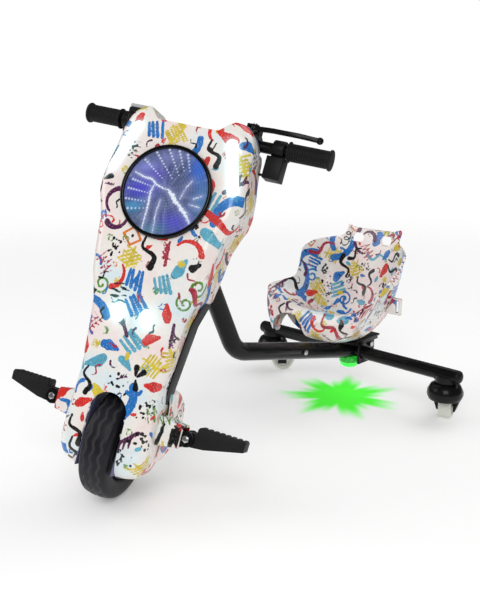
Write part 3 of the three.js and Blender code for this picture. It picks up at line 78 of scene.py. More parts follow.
def cleanMesh(obj, distance=1e-6):
    pick(obj)
    bpy.ops.object.mode_set(mode="EDIT")
    bpy.ops.mesh.select_all(action="SELECT")
    bpy.ops.mesh.remove_doubles(threshold=distance)
    bpy.ops.mesh.normals_make_consistent(inside=False)
    bpy.ops.object.mode_set(mode="OBJECT")


def meshPoints(obj):
    flat = np.zeros(len(obj.data.vertices) * 3)
    obj.data.vertices.foreach_get("co", flat)
    return flat.reshape(-1, 3)


def setPoints(obj, points):
    obj.data.vertices.foreach_set("co", np.asarray(points, float).ravel())
    obj.data.update()


def layValues(obj, name, values):
    attribute = obj.data.attributes.new(name, "FLOAT", "POINT")
    attribute.data.foreach_set("value", values.astype(np.float32))


def bakePlace(obj, place=Matrix.Identity(4)):
    bpy.context.view_layer.update()
    obj.data.transform(place @ obj.matrix_world)
    obj.matrix_world = Matrix.Identity(4)


def finishPiece(obj, name, body, paint, *replaced, place=Matrix.Identity(4), smooth=0, slotName=None):
    if smooth:
        shadeSmooth(obj, smooth)
    bakePlace(obj, place)
    obj.name = obj.data.name = name
    obj.data.materials.clear()
    obj.data.materials.append(paints[paint])
    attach(obj, body)
    if replaced:
        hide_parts(*replaced)


def joinPieces(first, *others):
    pick(first, *others)
    bpy.ops.object.join()
    return first


def primitive(add, **sizes):
    pick()
    add(**sizes)
    return bpy.context.active_object


# a flat grid laid over a form, which turns shares of the grid's two sides into points in millimetres
def wrappedGrid(columns, rows, form, merge=1e-6):
    obj = primitive(bpy.ops.mesh.primitive_grid_add, x_subdivisions=columns, y_subdivisions=rows, size=2)
    flat = meshPoints(obj)
    setPoints(obj, form((flat[:, 0] + 1) / 2, (flat[:, 1] + 1) / 2) * mm)
    cleanMesh(obj, merge)
    return obj


# drops the faces whose corners are all marked
def dropFaces(obj, marked):
    mesh = bmesh.new()
    mesh.from_mesh(obj.data)
    gone = [face for face in mesh.faces if all(marked[v.index] for v in face.verts)]
    bmesh.ops.delete(mesh, geom=gone, context="FACES")
    mesh.to_mesh(obj.data)
    mesh.free()


# faces inside an opening go, and the rim left behind is drawn onto the opening's edge
def openUp(obj, edgeDistance):
    step = 0.05
    dropFaces(obj, edgeDistance(meshPoints(obj) / mm) < 0)
    for _ in range(2):
        points = meshPoints(obj) / mm
        distance = edgeDistance(points)
        slope = np.stack([(edgeDistance(points + step * axis) - distance) / step for axis in np.eye(3)], 1)
        length = np.maximum(np.linalg.norm(slope, axis=1, keepdims=True), 1e-6)
        move = np.where(distance < 0, distance, 0)[:, None] * slope / length**2
        setPoints(obj, (points - move) * mm)


# turned body: a profile of radius and height in millimetres, spun about z and then turned to its axis
def spunPiece(profile, steps, axis=(0, 0, 1)):
    obj = primitive(bpy.ops.mesh.primitive_plane_add, size=1)
    bpy.ops.object.mode_set(mode="EDIT")
    bpy.ops.mesh.select_all(action="SELECT")
    bpy.ops.mesh.merge(type="CENTER")
    bpy.ops.transform.translate(value=Vector((profile[0][0], 0, profile[0][1])) * mm)
    for before, after in zip(profile, profile[1:]):
        stride = Vector((after[0] - before[0], 0, after[1] - before[1])) * mm
        bpy.ops.mesh.extrude_region_move(TRANSFORM_OT_translate={"value": stride})
    bpy.ops.mesh.select_all(action="SELECT")
    bpy.ops.mesh.spin(steps=steps, angle=2 * math.pi, center=(0, 0, 0), axis=(0, 0, 1))
    bpy.ops.object.mode_set(mode="OBJECT")
    cleanMesh(obj)
    obj.data.transform(Vector((0, 0, 1)).rotation_difference(Vector(axis)).to_matrix().to_4x4())
    return obj


# a profile closed by its own mirror image across height 0
def mirroredProfile(half, *middle):
    return half + [*middle] + [(r, -x) for r, x in reversed(half)] + [half[0]]


def arcProfile(centre, radius, fromTurn, toTurn, count=6):
    return [(centre[0] + radius * math.cos(turn), centre[1] + radius * math.sin(turn))
            for turn in np.radians(np.linspace(fromTurn, toTurn, count))]


# a round tube along points in millimetres
def tubePiece(points, radius, sides, ripple=0.0):
    curve = bpy.data.curves.new("tube", "CURVE")
    curve.dimensions = "3D"
    curve.bevel_depth = radius * mm
    curve.bevel_resolution = sides // 4 - 1
    curve.use_fill_caps = True
    spline = curve.splines.new("POLY")
    spline.points.add(len(points) - 1)
    for index, (slot, point) in enumerate(zip(spline.points, points)):
        slot.co = (*(Vector(point) * mm), 1)
        slot.radius = 1 + ripple * math.sin(index * math.pi / 2)
    pick(linkedObject("tube", curve))
    bpy.ops.object.convert(target="MESH")
    obj = bpy.context.active_object
    cleanMesh(obj)
    return obj


# a copy of a CAD node with its hard edges eased
def easedNode(node, width, angle=35):
    obj = linkedObject("eased", nodes[node].data.copy())
    pick(obj)
    bpy.ops.object.mode_set(mode="EDIT")
    bpy.ops.mesh.select_all(action="SELECT")
    bpy.ops.mesh.remove_doubles(threshold=2e-5)
    bpy.ops.mesh.dissolve_limited(angle_limit=math.radians(1.5))
    bpy.ops.object.mode_set(mode="OBJECT")
    applyModifier(obj, "BEVEL", width=width * mm, segments=2, limit_method="ANGLE",
                  angle_limit=math.radians(angle))
    shadeSmooth(obj, angle)
    return obj


# a line smoothed over the given count of neighbours on each side
def softened(line, reach):
    window = np.hanning(2 * reach + 3)[1:-1]
    return np.convolve(np.pad(line, reach, mode="edge"), window / window.sum(), "valid")


def pathLengths(path):
    return np.concatenate([[0], np.cumsum(np.linalg.norm(np.diff(path, axis=0), axis=1))])


def smoothShare(value, low, high):
    share = np.clip((value - low) / (high - low), 0, 1)
    return share * share * (3 - 2 * share)


# the steering column's own frame, as it stands at rest, and the ground below the steering joint
column = {"rake": 22.5, "rest": 25.0}
steerX, steerY, steerZ = joints["steer"]["pos_m"]
rakePlace = Matrix.Rotation(-math.radians(column["rake"]), 4, "X")
columnPlace = (Matrix.Translation((steerX, steerY, steerZ)) @ rakePlace
               @ Matrix.Rotation(math.radians(column["rest"]), 4, "Z"))
rearPlace = Matrix.Translation((steerX, steerY, 0))


# camera, set by the photo's viewing angle
camera = {"place": (1.1374, -1.2105, 0.7474), "azimuth": 43.9, "pitch": 14.6, "lens": 32.056, "sensor": 24.0}
cameraData = bpy.data.cameras.new("camera")
cameraData.sensor_fit = "VERTICAL"
cameraData.sensor_height = camera["sensor"]
cameraData.lens = camera["lens"]
cameraObject = linkedObject("camera", cameraData)
cameraObject.location = camera["place"]
cameraObject.rotation_euler = (math.radians(90 - camera["pitch"]), 0, math.radians(camera["azimuth"]))
bpy.context.scene.camera = cameraObject
print("camera set")


# material helpers
def newMaterial(name):
    material = bpy.data.materials.new(name)
    material.use_nodes = True
    return material, material.node_tree, material.node_tree.nodes["Principled BSDF"]


def addNode(tree, kind, **values):
    node = tree.nodes.new("ShaderNode" + kind)
    for key, value in values.items():
        setattr(node, key, value)
    return node


def setInputs(node, values):
    for key, value in values.items():
        node.inputs[key].default_value = value


def link(tree, source, target):
    tree.links.new(source, target)


def attributeValue(tree, name):
    return addNode(tree, "Attribute", attribute_name=name).outputs["Fac"]


def objectNoise(tree, scale, detail, rough):
    noise = addNode(tree, "TexNoise")
    setInputs(noise, {"Scale": scale, "Detail": detail, "Roughness": rough})
    link(tree, addNode(tree, "TexCoord").outputs["Object"], noise.inputs["Vector"])
    return noise.outputs["Fac"]


def ramp(tree, source, stops):
    node = addNode(tree, "ValToRGB")
    elements = node.color_ramp.elements
    while len(elements) < len(stops):
        elements.new(0.5)
    for element, (position, colour) in zip(elements, stops):
        element.position = position
        element.color = (*colour, 1)
    link(tree, source, node.inputs["Fac"])
    return node.outputs["Color"]


def remap(tree, source, low, high, newLow=0, newHigh=1, smooth=False):
    node = addNode(tree, "MapRange", interpolation_type="SMOOTHSTEP" if smooth else "LINEAR")
    setInputs(node, {"From Min": low, "From Max": high, "To Min": newLow, "To Max": newHigh})
    link(tree, source, node.inputs["Value"])
    return node.outputs["Result"]


def maths(tree, operation, *values):
    node = addNode(tree, "Math", operation=operation)
    for slot, value in zip(node.inputs, values):
        if isinstance(value, (int, float)):
            slot.default_value = value
        else:
            link(tree, value, slot)
    return node.outputs["Value"]


def product(tree, first, second):
    return maths(tree, "MULTIPLY", first, second)


def total(tree, first, second):
    return maths(tree, "ADD", first, second)


def offCentre(tree, value, middle):
    return maths(tree, "SUBTRACT", value, middle)


# length of a step given by its two directions
def planeLength(tree, first, second):
    return maths(tree, "SQRT", total(tree, product(tree, first, first), product(tree, second, second)))


def mixColour(tree, share, first, second):
    node = addNode(tree, "Mix", data_type="RGBA", blend_type="MIX")
    for slot, value in zip((node.inputs[0], node.inputs[6], node.inputs[7]), (share, first, second)):
        if isinstance(value, tuple):
            slot.default_value = (*value, 1)
        else:
            link(tree, value, slot)
    return node.outputs[2]


def addBump(tree, shader, height, strength, distance=0.0004):
    bump = addNode(tree, "Bump")
    setInputs(bump, {"Strength": strength, "Distance": distance})
    link(tree, height, bump.inputs["Height"])
    link(tree, bump.outputs["Normal"], shader.inputs["Normal"])


# a plain finish with grain, mottling and rubbed patches; every colour is linear
def wornFinish(name, colour, lift, rough, spread, metallic, grain, bump, coat=0.0, sheen=0.5):
    material, tree, shader = newMaterial(name)
    broad, fine = objectNoise(tree, 14, 4, 0.6), objectNoise(tree, grain, 2, 0.5)
    lighter = tuple(min(1, part + lift) for part in colour)
    tint = ramp(tree, broad, [(0.3, colour), (0.75, lighter)])
    speck = remap(tree, fine, 0.35, 0.75, 0, 0.35)
    link(tree, mixColour(tree, speck, tint, lighter), shader.inputs["Base Color"])
    link(tree, remap(tree, broad, 0.3, 0.75, rough - spread, rough + spread), shader.inputs["Roughness"])
    setInputs(shader, {"Metallic": metallic, "Coat Weight": coat, "Coat Roughness": 0.15,
                       "Specular IOR Level": sheen})
    addBump(tree, shader, fine, bump)
    return material


# tyre rubber with a painted highlight along its waved grooves
def tyreFinish():
    material = wornFinish("tyreRubber", (0.005, 0.005, 0.009), 0.009, 0.45, 0.1, 0, 800, 0.4, 0, 0.25)
    tree = material.node_tree
    slot = tree.nodes["Principled BSDF"].inputs["Base Color"]
    # painted highlight: the waved grooves are drawn in a paler grey
    pale = product(tree, attributeValue(tree, "grooveHighlight"), 0.6)
    link(tree, mixColour(tree, pale, slot.links[0].from_socket, (0.055, 0.055, 0.058)), slot)
    return material


# a lit lens, mottled between the colour of its middle and that of its edge; also paints the green lamp's light
# onto its housing
def litLens(name, colour, edge, strength):
    material, tree, shader = newMaterial(name)
    mottle = objectNoise(tree, 160, 3, 0.6)
    tone = mixColour(tree, remap(tree, mottle, 0.3, 0.7, smooth=True), colour, edge)
    link(tree, tone, shader.inputs["Emission Color"])
    lit = remap(tree, objectNoise(tree, 30, 2, 0.5), 0.3, 0.7, strength * 0.85, strength)
    link(tree, lit, shader.inputs["Emission Strength"])
    setInputs(shader, {"Base Color": (*edge, 1), "Roughness": 0.2})
    addBump(tree, shader, mottle, 0.1)
    return material


paints = {
    "frame": wornFinish("frameBlack", (0.003, 0.003, 0.0033), 0.003, 0.26, 0.06, 0, 1400, 0.1, 0.12, 0.16),
    "plastic": wornFinish("plasticBlack", (0.005, 0.005, 0.0055), 0.004, 0.42, 0.08, 0, 1700, 0.25, 0, 0.2),
    "gloss": wornFinish("glossBlack", (0.0015, 0.0015, 0.002), 0.002, 0.12, 0.04, 0, 1200, 0.04, 0.1, 0.25),
    "rubber": wornFinish("rubberBlack", (0.007, 0.007, 0.0075), 0.006, 0.58, 0.08, 0, 1100, 0.35, 0, 0.22),
    "tyre": tyreFinish(),
    "hub": wornFinish("hubPaint", (0.02, 0.02, 0.022), 0.012, 0.38, 0.07, 0.4, 1000, 0.15),
    "steel": wornFinish("zincSteel", (0.55, 0.55, 0.56), 0.12, 0.3, 0.1, 1, 500, 0.2),
    "alloy": wornFinish("plainAlloy", (0.42, 0.43, 0.45), 0.1, 0.38, 0.08, 1, 400, 0.2),
    "liner": wornFinish("linerSlate", (0.085, 0.095, 0.2), 0.04, 0.42, 0.07, 0, 900, 0.2),
    "grey": wornFinish("windowGrey", (0.42, 0.43, 0.44), 0.05, 0.2, 0.05, 0, 300, 0.05, 0.5),
    "battery": wornFinish("batteryWrap", (0.02, 0.12, 0.4), 0.03, 0.35, 0.06, 0, 200, 0.3, 0.3),
    "milk": wornFinish("casterMilk", (0.62, 0.63, 0.56), 0.08, 0.33, 0.06, 0, 260, 0.1, 0.3),
    "strip": litLens("stripGlow", (1.0, 1.0, 1.0), (0.72, 0.97, 1.0), 1.3),
    "lamp": litLens("headlampGlow", (0.86, 0.98, 1.0), (0.55, 0.88, 0.97), 0.9),
    # the lamp housing is no lamp: its green glow is painted light from the green lamp
    "greenDark": litLens("greenHousing", (0.03, 0.5, 0.04), (0.004, 0.16, 0.01), 0.8),
    "green": litLens("greenDome", (0.1, 1.0, 0.12), (0.01, 0.45, 0.03), 1.0),
}
print("plain finishes made")

# painted print: each ink is a float on the mesh, in millimetres from its edge and below 0 where it is laid
inks = {
    "inkCyan": (0.1, 0.42, 0.58), "inkYellow": (0.72, 0.56, 0.03), "inkOrange": (0.78, 0.2, 0.03),
    "inkGreen": (0.1, 0.28, 0.02), "inkBlue": (0.006, 0.17, 0.55), "inkPink": (0.42, 0.012, 0.045),
    "inkRed": (0.72, 0.018, 0.012), "inkPurple": (0.09, 0.005, 0.07), "inkBlack": (0.002, 0.002, 0.003),
}
# the print's base tints, and the colour and strength of the painted lamp glow on the shell
printFinish = {"cream": (0.84, 0.8, 0.75), "rose": (0.86, 0.71, 0.69), "cool": (0.68, 0.79, 0.83),
               "pale": (0.93, 0.9, 0.87), "edge": 0.45, "wander": 3.0, "far": 20.0, "deep": 0.72,
               "glow": (0.35, 0.95, 1.0), "glowStrength": 0.48}


# noise about 0 that moves an edge to and fro
def shaken(tree, scale, detail, amount):
    return product(tree, offCentre(tree, objectNoise(tree, scale, detail, 0.6), 0.5), amount)


def makePrint():
    material, tree, shader = newMaterial("paintedPrint")
    cream, rose, cool, pale = (printFinish[key] for key in ("cream", "rose", "cool", "pale"))
    mottle, dry = objectNoise(tree, 60, 5, 0.65), objectNoise(tree, 420, 2, 0.5)
    wander = shaken(tree, 190, 3, printFinish["wander"])
    colour = ramp(tree, objectNoise(tree, 11, 3, 0.5), [(0.32, cool), (0.47, cream), (0.66, rose)])
    colour = mixColour(tree, remap(tree, mottle, 0.55, 0.72, 0, 0.35, True), colour, pale)
    for name, ink in inks.items():
        edge = total(tree, attributeValue(tree, name), wander)
        laid = remap(tree, edge, printFinish["edge"], -printFinish["edge"], smooth=True)
        thin = remap(tree, dry, 0.3, 0.42, 0.9 if name == "inkBlack" else 0.62, 1)
        deep = tuple(part * printFinish["deep"] for part in ink)
        tone = mixColour(tree, remap(tree, mottle, 0.38, 0.66), ink, deep)
        colour = mixColour(tree, product(tree, laid, thin), colour, tone)
    link(tree, colour, shader.inputs["Base Color"])
    link(tree, remap(tree, mottle, 0.3, 0.7, 0.22, 0.34), shader.inputs["Roughness"])
    setInputs(shader, {"Coat Weight": 0.3, "Coat Roughness": 0.08,
                       "Emission Color": (*printFinish["glow"], 1)})
    # painted lamp light: the shell skin glows cyan near the light strips and headlamps
    glow = product(tree, attributeValue(tree, "lampGlow"), printFinish["glowStrength"])
    link(tree, glow, shader.inputs["Emission Strength"])
    addBump(tree, shader, objectNoise(tree, 260, 2, 0.5), 0.06, 0.0005)
    return material


paints["print"] = makePrint()


# distance from a stroke through points, below 0 on it; its half widths are spread evenly along it
def stroke(a, b, points, *widths):
    best = np.full(a.shape, printFinish["far"])
    widths = np.interp(np.linspace(0, len(widths) - 1, len(points)), range(len(widths)), widths)
    for (p, q, wide, end) in zip(points, points[1:], widths, widths[1:]):
        dx, dy = q[0] - p[0], q[1] - p[1]
        along = np.clip(((a - p[0]) * dx + (b - p[1]) * dy) / max(dx * dx + dy * dy, 1e-6), 0, 1)
        gone = np.hypot(a - p[0] - along * dx, b - p[1] - along * dy)
        best = np.minimum(best, gone - (wide + (end - wide) * along))
    return best


def curvePoints(fromTurn, toTurn, radius, centre=(0, 0), grow=0.0, count=9):
    turns = np.linspace(fromTurn, toTurn, count)
    reach = radius + grow * np.linspace(0, 1, count)
    return [(centre[0] + r * math.cos(t), centre[1] + r * math.sin(t)) for r, t in zip(reach, turns)]


def anyInk(rng, *names):
    return "ink" + rng.choice(names)


# motifs: each gives the inks it lays around its own middle, in millimetres
def crescent(a, b, rng):
    ink = anyInk(rng, "Pink", "Red", "Purple")
    path = curvePoints(0.3, 0.3 + rng.uniform(1.9, 2.7), rng.uniform(20, 30), (0, -14))
    return [(ink, stroke(a, b, path, 5.2, 1.8))]


def dab(a, b, rng):
    path = [(-9, -2), (0, 0), (rng.uniform(14, 26), rng.uniform(-9, 9))]
    return [(anyInk(rng, "Red", "Red", "Blue", "Cyan"), stroke(a, b, path, 7, 9.5, 3))]


def hatch(a, b, rng):
    lean = rng.uniform(-4, 4)
    laid = []
    for x in (-16, -10, -4, 2, 8, 14):
        path = [(x + rng.uniform(-1, 1), -18 + rng.uniform(-5, 5)), (x + lean, 18 + rng.uniform(-5, 5))]
        laid.append(stroke(a, b, path, 1.5, 1.3))
    laid.append(stroke(a, b, [(-24, -6), (24, rng.uniform(-2, 9))], 1.7, 1.2))
    return [("inkYellow", np.min(laid, axis=0))]


def wave(a, b, rng):
    swing = rng.uniform(7, 11)
    path = [(x, swing * math.sin(x / 9.0)) for x in np.linspace(-36, 36, 15)]
    return [(anyInk(rng, "Blue", "Pink", "Cyan", "Red"), stroke(a, b, path, 4.8, 2.2))]


def band(a, b, rng):
    path = curvePoints(2.6, 0.9, rng.uniform(38, 60), (4, -40), count=8)
    return [("inkBlue", stroke(a, b, path, 6.5, 8.5))]


def sprout(a, b, rng):
    laid = [stroke(a, b, [(-26, -2), (22, 3)], 3.2, 1.8)]
    for x in (-12, -2, 8):
        laid.append(stroke(a, b, [(x, 0), (x + 12, rng.uniform(10, 16))], 2.4, 1.2))
    return [(anyInk(rng, "Purple", "Pink"), np.min(laid, axis=0))]


def tendril(a, b, rng):
    path = [(x, 7 * math.sin(x / 6.5) + x * 0.2) for x in np.linspace(-26, 26, 17)]
    return [("inkBlack", stroke(a, b, path, *np.linspace(1.6, 3.4, 12), *np.linspace(4, 5.5, 5)))]


def splatter(a, b, rng):
    laid = [np.hypot(a - rng.normal(0, 9), b - rng.normal(0, 7)) - rng.uniform(0.9, 2.6) for _ in range(16)]
    return [("inkBlack", np.min(laid, axis=0))]


def kite(a, b, rng):
    corners = [(-16, 0), (2, -13), (18, 1), (0, 15), (-16, 0)]
    ring = stroke(a, b, [(x + rng.uniform(-2, 2), y + rng.uniform(-2, 2)) for x, y in corners], 1.6)
    return [("inkOrange", ring), ("inkBlack", np.hypot(a - 1, b - 1) - 2.4)]


def rungs(a, b, rng):
    ink = anyInk(rng, "Cyan", "Blue")
    laid = [stroke(a, b, [(-18 + y * 0.3, y), (16, y + rng.uniform(-3, 3))], 3.4, 2.4)
            for y in (-15, -5, 5, 15)]
    return [(ink, np.min(laid, axis=0))]


def spiral(a, b, rng):
    path = curvePoints(0, rng.choice([-1, 1]) * 8.2, 4, grow=15, count=26)
    return [(anyInk(rng, "Blue", "Pink", "Green"), stroke(a, b, path, 1.9))]


def petals(a, b, rng):
    laid = [stroke(a, b, [(r * math.cos(turn), r * math.sin(turn)) for r in (5, 19)], 2, 5.5)
            for turn in rng.uniform(0, 6.3, 3)]
    return [(anyInk(rng, "Pink", "Blue", "Black"), np.min(laid, axis=0))]


def scribble(a, b, rng):
    path = [(x, (13 if index % 2 else -13) + rng.uniform(-4, 4))
            for index, x in enumerate(np.linspace(-20, 20, 9))]
    return [(anyInk(rng, "Yellow", "Green", "Black", "Pink"), stroke(a, b, path, 0.7))]


def loops(a, b, rng):
    turns = np.linspace(0, 5 * math.pi, 40)
    path = list(zip(turns * 2.6 - 20 + 8 * np.sin(turns), 8 * np.cos(turns)))
    return [(anyInk(rng, "Black", "Blue", "Red"), stroke(a, b, path, 0.9))]


def washPatch(a, b, rng):
    edge = (np.hypot(a / 24, b / 13) - 1) * 13
    return [(anyInk(rng, "Cyan", "Yellow"), edge + rng.uniform(0, 3))]


# broad motifs first, then small ones between them: spacing share, size share and added width of each pass
motifs = [crescent, dab, hatch, tendril, kite, sprout, splatter, rungs, dab, spiral, band, petals, crescent,
          scribble, tendril, washPatch, dab, splatter, wave, loops, hatch, scribble]
printLay = {"pitch": 35, "reach": 62, "facing": 0.15, "backFacing": -0.2, "grow": (0.82, 1.15),
            "passes": [(1.0, 1.0, 0.45), (0.82, 0.4, 0.3)]}


# every motif is laid on the tangent plane at a place on the skin, so the print follows the form; each painted
# lamp glow runs from one point to another, with its radius and how far it fades beyond
def layPrint(obj, seed, pitch=printLay["pitch"], scale=1.0, glows=()):
    rng = np.random.default_rng(seed)
    points = meshPoints(obj) / mm
    normals = np.zeros(points.size)
    obj.data.vertices.foreach_get("normal", normals)
    normals = normals.reshape(-1, 3)
    laid = {name: np.full(len(points), printFinish["far"]) for name in inks}
    motifCount = 0
    for gapShare, sizeShare, bold in printLay["passes"]:
        spacing, size = pitch * gapShare, scale * sizeShare
        centres, free = [], np.linalg.norm(normals, axis=1) > 0.5
        for index in rng.permutation(len(points)):
            if free[index]:
                centres.append(index)
                close = np.linalg.norm(points - points[index], axis=1) < spacing
                free &= ~(close & (normals @ normals[index] > printLay["backFacing"]))
        for count, which in enumerate(rng.permutation(len(centres))):
            p, n = points[centres[which]], normals[centres[which]]
            side = np.cross(n, [0.3, 0.2, 1.0])
            side /= np.linalg.norm(side)
            up = np.cross(n, side)
            turn = rng.uniform(0, 2 * math.pi)
            first = side * math.cos(turn) + up * math.sin(turn)
            second = np.cross(n, first)
            gone = points - p
            near = np.linalg.norm(gone, axis=1) < printLay["reach"] * size
            near &= normals @ n > printLay["facing"]
            grown = size * rng.uniform(*printLay["grow"])
            local = gone[near] / grown
            for ink, distance in motifs[count % len(motifs)](local @ first, local @ second, rng):
                laid[ink][near] = np.minimum(laid[ink][near], distance * grown - bold)
        motifCount += len(centres)
    for name, values in laid.items():
        layValues(obj, name, values)
    glow = np.zeros(len(points))
    for start, end, radius, reach in glows:
        start, span = np.array(start), np.array(end) - np.array(start)
        along = np.clip(((points - start) @ span) / max(span @ span, 1e-6), 0, 1)
        gone = np.linalg.norm(points - start - along[:, None] * span, axis=1)
        glow = np.maximum(glow, np.exp(-np.maximum(gone - radius, 0) / reach))
    layValues(obj, "lampGlow", glow)
    return motifCount


# front shell, in the column's frame: rows of height, half width, front face and back edge, all as shares
shell = {
    "drop": -51.0, "rise": 626.0, "halfWidth": 142.0, "front": 102.4, "wall": 3.2, "corner": 24.0,
    "crown": 3.0, "taper": 5.0, "dipHalf": 56.0, "dipSlope": 34.0, "dipHeight": 600.0, "barRoom": 50.0,
    "barBack": -12.0, "barUnder": 589.4, "slotHalf": 38.0, "slotTop": 97.0, "slotFrom": -10.0, "faceFrom": 20.0,
    "discHeight": 470.0, "discHole": 80.0, "stripTop": (94.0, 580.0), "stripFoot": (120.0, 498.0),
    "stripHole": 10.8, "stripLens": 10.4, "lamp": (28.0, 240.0), "lampHole": (14.3, 19.3),
    "lampLens": (13.8, 18.8), "lensProud": 0.4, "lensDepth": 2.8, "bossY": -19.0, "bossZ": 50.5,
    "bossHole": (20, 24, 6), "bossInner": 60.0,
    "rows": [
        (0, 0.37, 0.56, 0.1), (0.006, 0.48, 0.64, 0), (0.02, 0.55, 0.73, -0.055), (0.043, 0.6, 0.785, -0.055),
        (0.075, 0.62, 0.82, -0.055), (0.12, 0.615, 0.845, -0.055), (0.165, 0.6, 0.855, -0.055),
        (0.215, 0.592, 0.86, -0.055), (0.26, 0.58, 0.87, 0.273), (0.313, 0.606, 0.88, 0.273),
        (0.378, 0.627, 0.908, 0.273), (0.445, 0.655, 0.938, 0.273), (0.494, 0.72, 0.962, 0.273),
        (0.518, 0.76, 0.972, -0.117), (0.578, 0.803, 0.986, -0.117), (0.637, 0.835, 1, -0.117),
        (0.663, 0.85, 0.989, -0.117), (0.703, 0.915, 0.974, -0.117), (0.737, 0.982, 0.959, -0.117),
        (0.77, 1, 0.947, -0.117), (0.818, 0.98, 0.928, -0.117), (0.866, 0.94, 0.908, -0.117),
        (0.903, 0.922, 0.893, -0.117), (0.928, 0.915, 0.88, -0.117), (0.959, 0.873, 0.858, -0.117),
        (0.981, 0.824, 0.822, -0.117), (1, 0.735, 0.74, -0.117)],
}


# shares by height, scaled to millimetres, read at every millimetre and softened away from the ends
def rowTable(rows, base, height, scales):
    table = np.array(rows, float)
    levels = base + table[:, 0] * height
    fine = np.arange(levels[0], levels[-1] + 1)
    weight = np.clip(np.minimum(fine - levels[0], levels[-1] - fine) / 14, 0, 1)
    lines = [np.interp(fine, levels, table[:, index + 1] * scale) for index, scale in enumerate(scales)]
    return fine, [line * (1 - weight) + softened(line, 7) * weight for line in lines]


shellTable = rowTable(shell["rows"], shell["drop"], shell["rise"] - shell["drop"],
                      (shell["halfWidth"], shell["front"], shell["front"]))
shellFine, (shellHalf, shellFront, shellBack) = shellTable


# one closed ring per level: face with soft corners, straight sides, and the line across the open end
def ringPoint(around, halfWidth, face, openEdge, corner, crown, taper):
    faceEnd, cornerEnd, sideEnd = 0.40, 0.52, 0.92
    facing = np.sign(face - openEdge)
    corner = np.minimum(np.minimum(corner, halfWidth / 2), np.abs(face - openEdge) / 2)
    folded = np.abs(around * 2 - 1)
    parts = [folded < faceEnd, folded < cornerEnd, folded < sideEnd]
    share = folded / faceEnd
    turn = (folded - faceEnd) / (cornerEnd - faceEnd) * math.pi / 2
    down = (folded - cornerEnd) / (sideEnd - cornerEnd)
    back = (folded - sideEnd) / (1 - sideEnd)
    flat, cornerStart = halfWidth - corner, face - facing * (crown + corner)
    x = np.select(parts, [flat * share, flat + corner * np.sin(turn), halfWidth - taper * down],
                  (halfWidth - taper) * (1 - back))
    forward = np.select(parts, [face - facing * crown * share**2,
                                cornerStart + facing * corner * np.cos(turn),
                                cornerStart + (openEdge - cornerStart) * down], openEdge)
    return np.where(around < 0.5, -x, x), forward


# rings up the rows, with each end drawn in to close it; forward distances run towards -y
def bowForm(table, capShare, capInset, corner, crown, taper, press=None):
    fine, (halves, faces, edges) = table

    def form(around, up):
        body = np.clip((up - capShare) / (1 - 2 * capShare), 0, 1)
        level = fine[0] + body * (fine[-1] - fine[0])
        halfWidth, face, edge = (np.interp(level, fine, line) for line in (halves, faces, edges))
        x, forward = ringPoint(around, halfWidth, face, edge, corner, crown, taper)
        draw = np.clip(np.maximum(capShare - up, up - 1 + capShare) / capShare, 0, 1)
        middle = (face + edge) / 2
        x = x * (1 - draw * capInset)
        z = level if press is None else press(x, level)
        return np.stack([x, -middle - (forward - middle) * (1 - draw), z], 1)
    return form


# the top is pressed down between the two horns
def pressedTop(x, level):
    rise = smoothShare(np.abs(x), shell["dipHalf"], shell["dipHalf"] + shell["dipSlope"])
    return np.minimum(level, shell["dipHeight"] + rise * (shell["rise"] - shell["dipHeight"]))


def roundedBox(a, b, halfA, halfB, corner):
    da, db = np.abs(a) - halfA + corner, np.abs(b) - halfB + corner
    return np.hypot(np.maximum(da, 0), np.maximum(db, 0)) + np.minimum(np.maximum(da, db), 0) - corner


# each opening as a distance, below 0 inside it
def shellOpenings(points):
    x, y, z = points.T
    (lampX, lampZ), (halfX, halfZ), slotHalf = shell["lamp"], shell["lampHole"], shell["slotHalf"]
    arch = np.hypot(x, np.maximum(z - shell["slotTop"] + slotHalf, 0)) - slotHalf
    mirror = np.hypot(x, z - shell["discHeight"]) - shell["discHole"]
    strips = stroke(np.abs(x), z, [shell["stripFoot"], shell["stripTop"]], shell["stripHole"])
    lamps = (np.hypot((np.abs(x) - lampX) / halfX, (z - lampZ) / halfZ) - 1) * halfX
    front = np.maximum(np.min([mirror, strips, lamps], axis=0), shell["faceFrom"] + y)
    bosses = np.maximum(roundedBox(y - shell["bossY"], z - shell["bossZ"], *shell["bossHole"]),
                        shell["bossInner"] - np.abs(x))
    notch = np.max([shell["barRoom"] - np.abs(x), shell["barBack"] - y, shell["barUnder"] - z], axis=0)
    return np.min([front, np.maximum(arch, shell["slotFrom"] + y), bosses, notch], axis=0)


# the flat side across the open end goes
def dropOpenSide(obj, fine, edges, low, high):
    _, y, z = meshPoints(obj).T / mm
    dropFaces(obj, (np.abs(y + np.interp(z, fine, edges)) < 0.4) & (z > low) & (z < high))


# a short four-sided sleeve through the shell's side for each foot peg's arm
sleeve = {"root": 84.0, "tip": 131.0, "half": (24.0, 28.0), "draw": (3.0, 7.0), "wall": 3.0, "power": 0.28}


def bossSleeve(side):
    def form(around, along):
        turn, inward = around * 2 * math.pi, 1 - np.abs(along * 2 - 1)
        wall = np.where(along < 0.5, 0, sleeve["wall"])
        middles, ways = (shell["bossY"], shell["bossZ"]), (np.cos(turn), np.sin(turn))
        y, z = (middle + (half - draw * inward - wall) * np.sign(way) * np.abs(way) ** sleeve["power"]
                for middle, half, draw, way in zip(middles, sleeve["half"], sleeve["draw"], ways))
        return np.stack([side * (sleeve["root"] + (sleeve["tip"] - sleeve["root"]) * inward), y, z], 1)
    return wrappedGrid(96, 44, form)


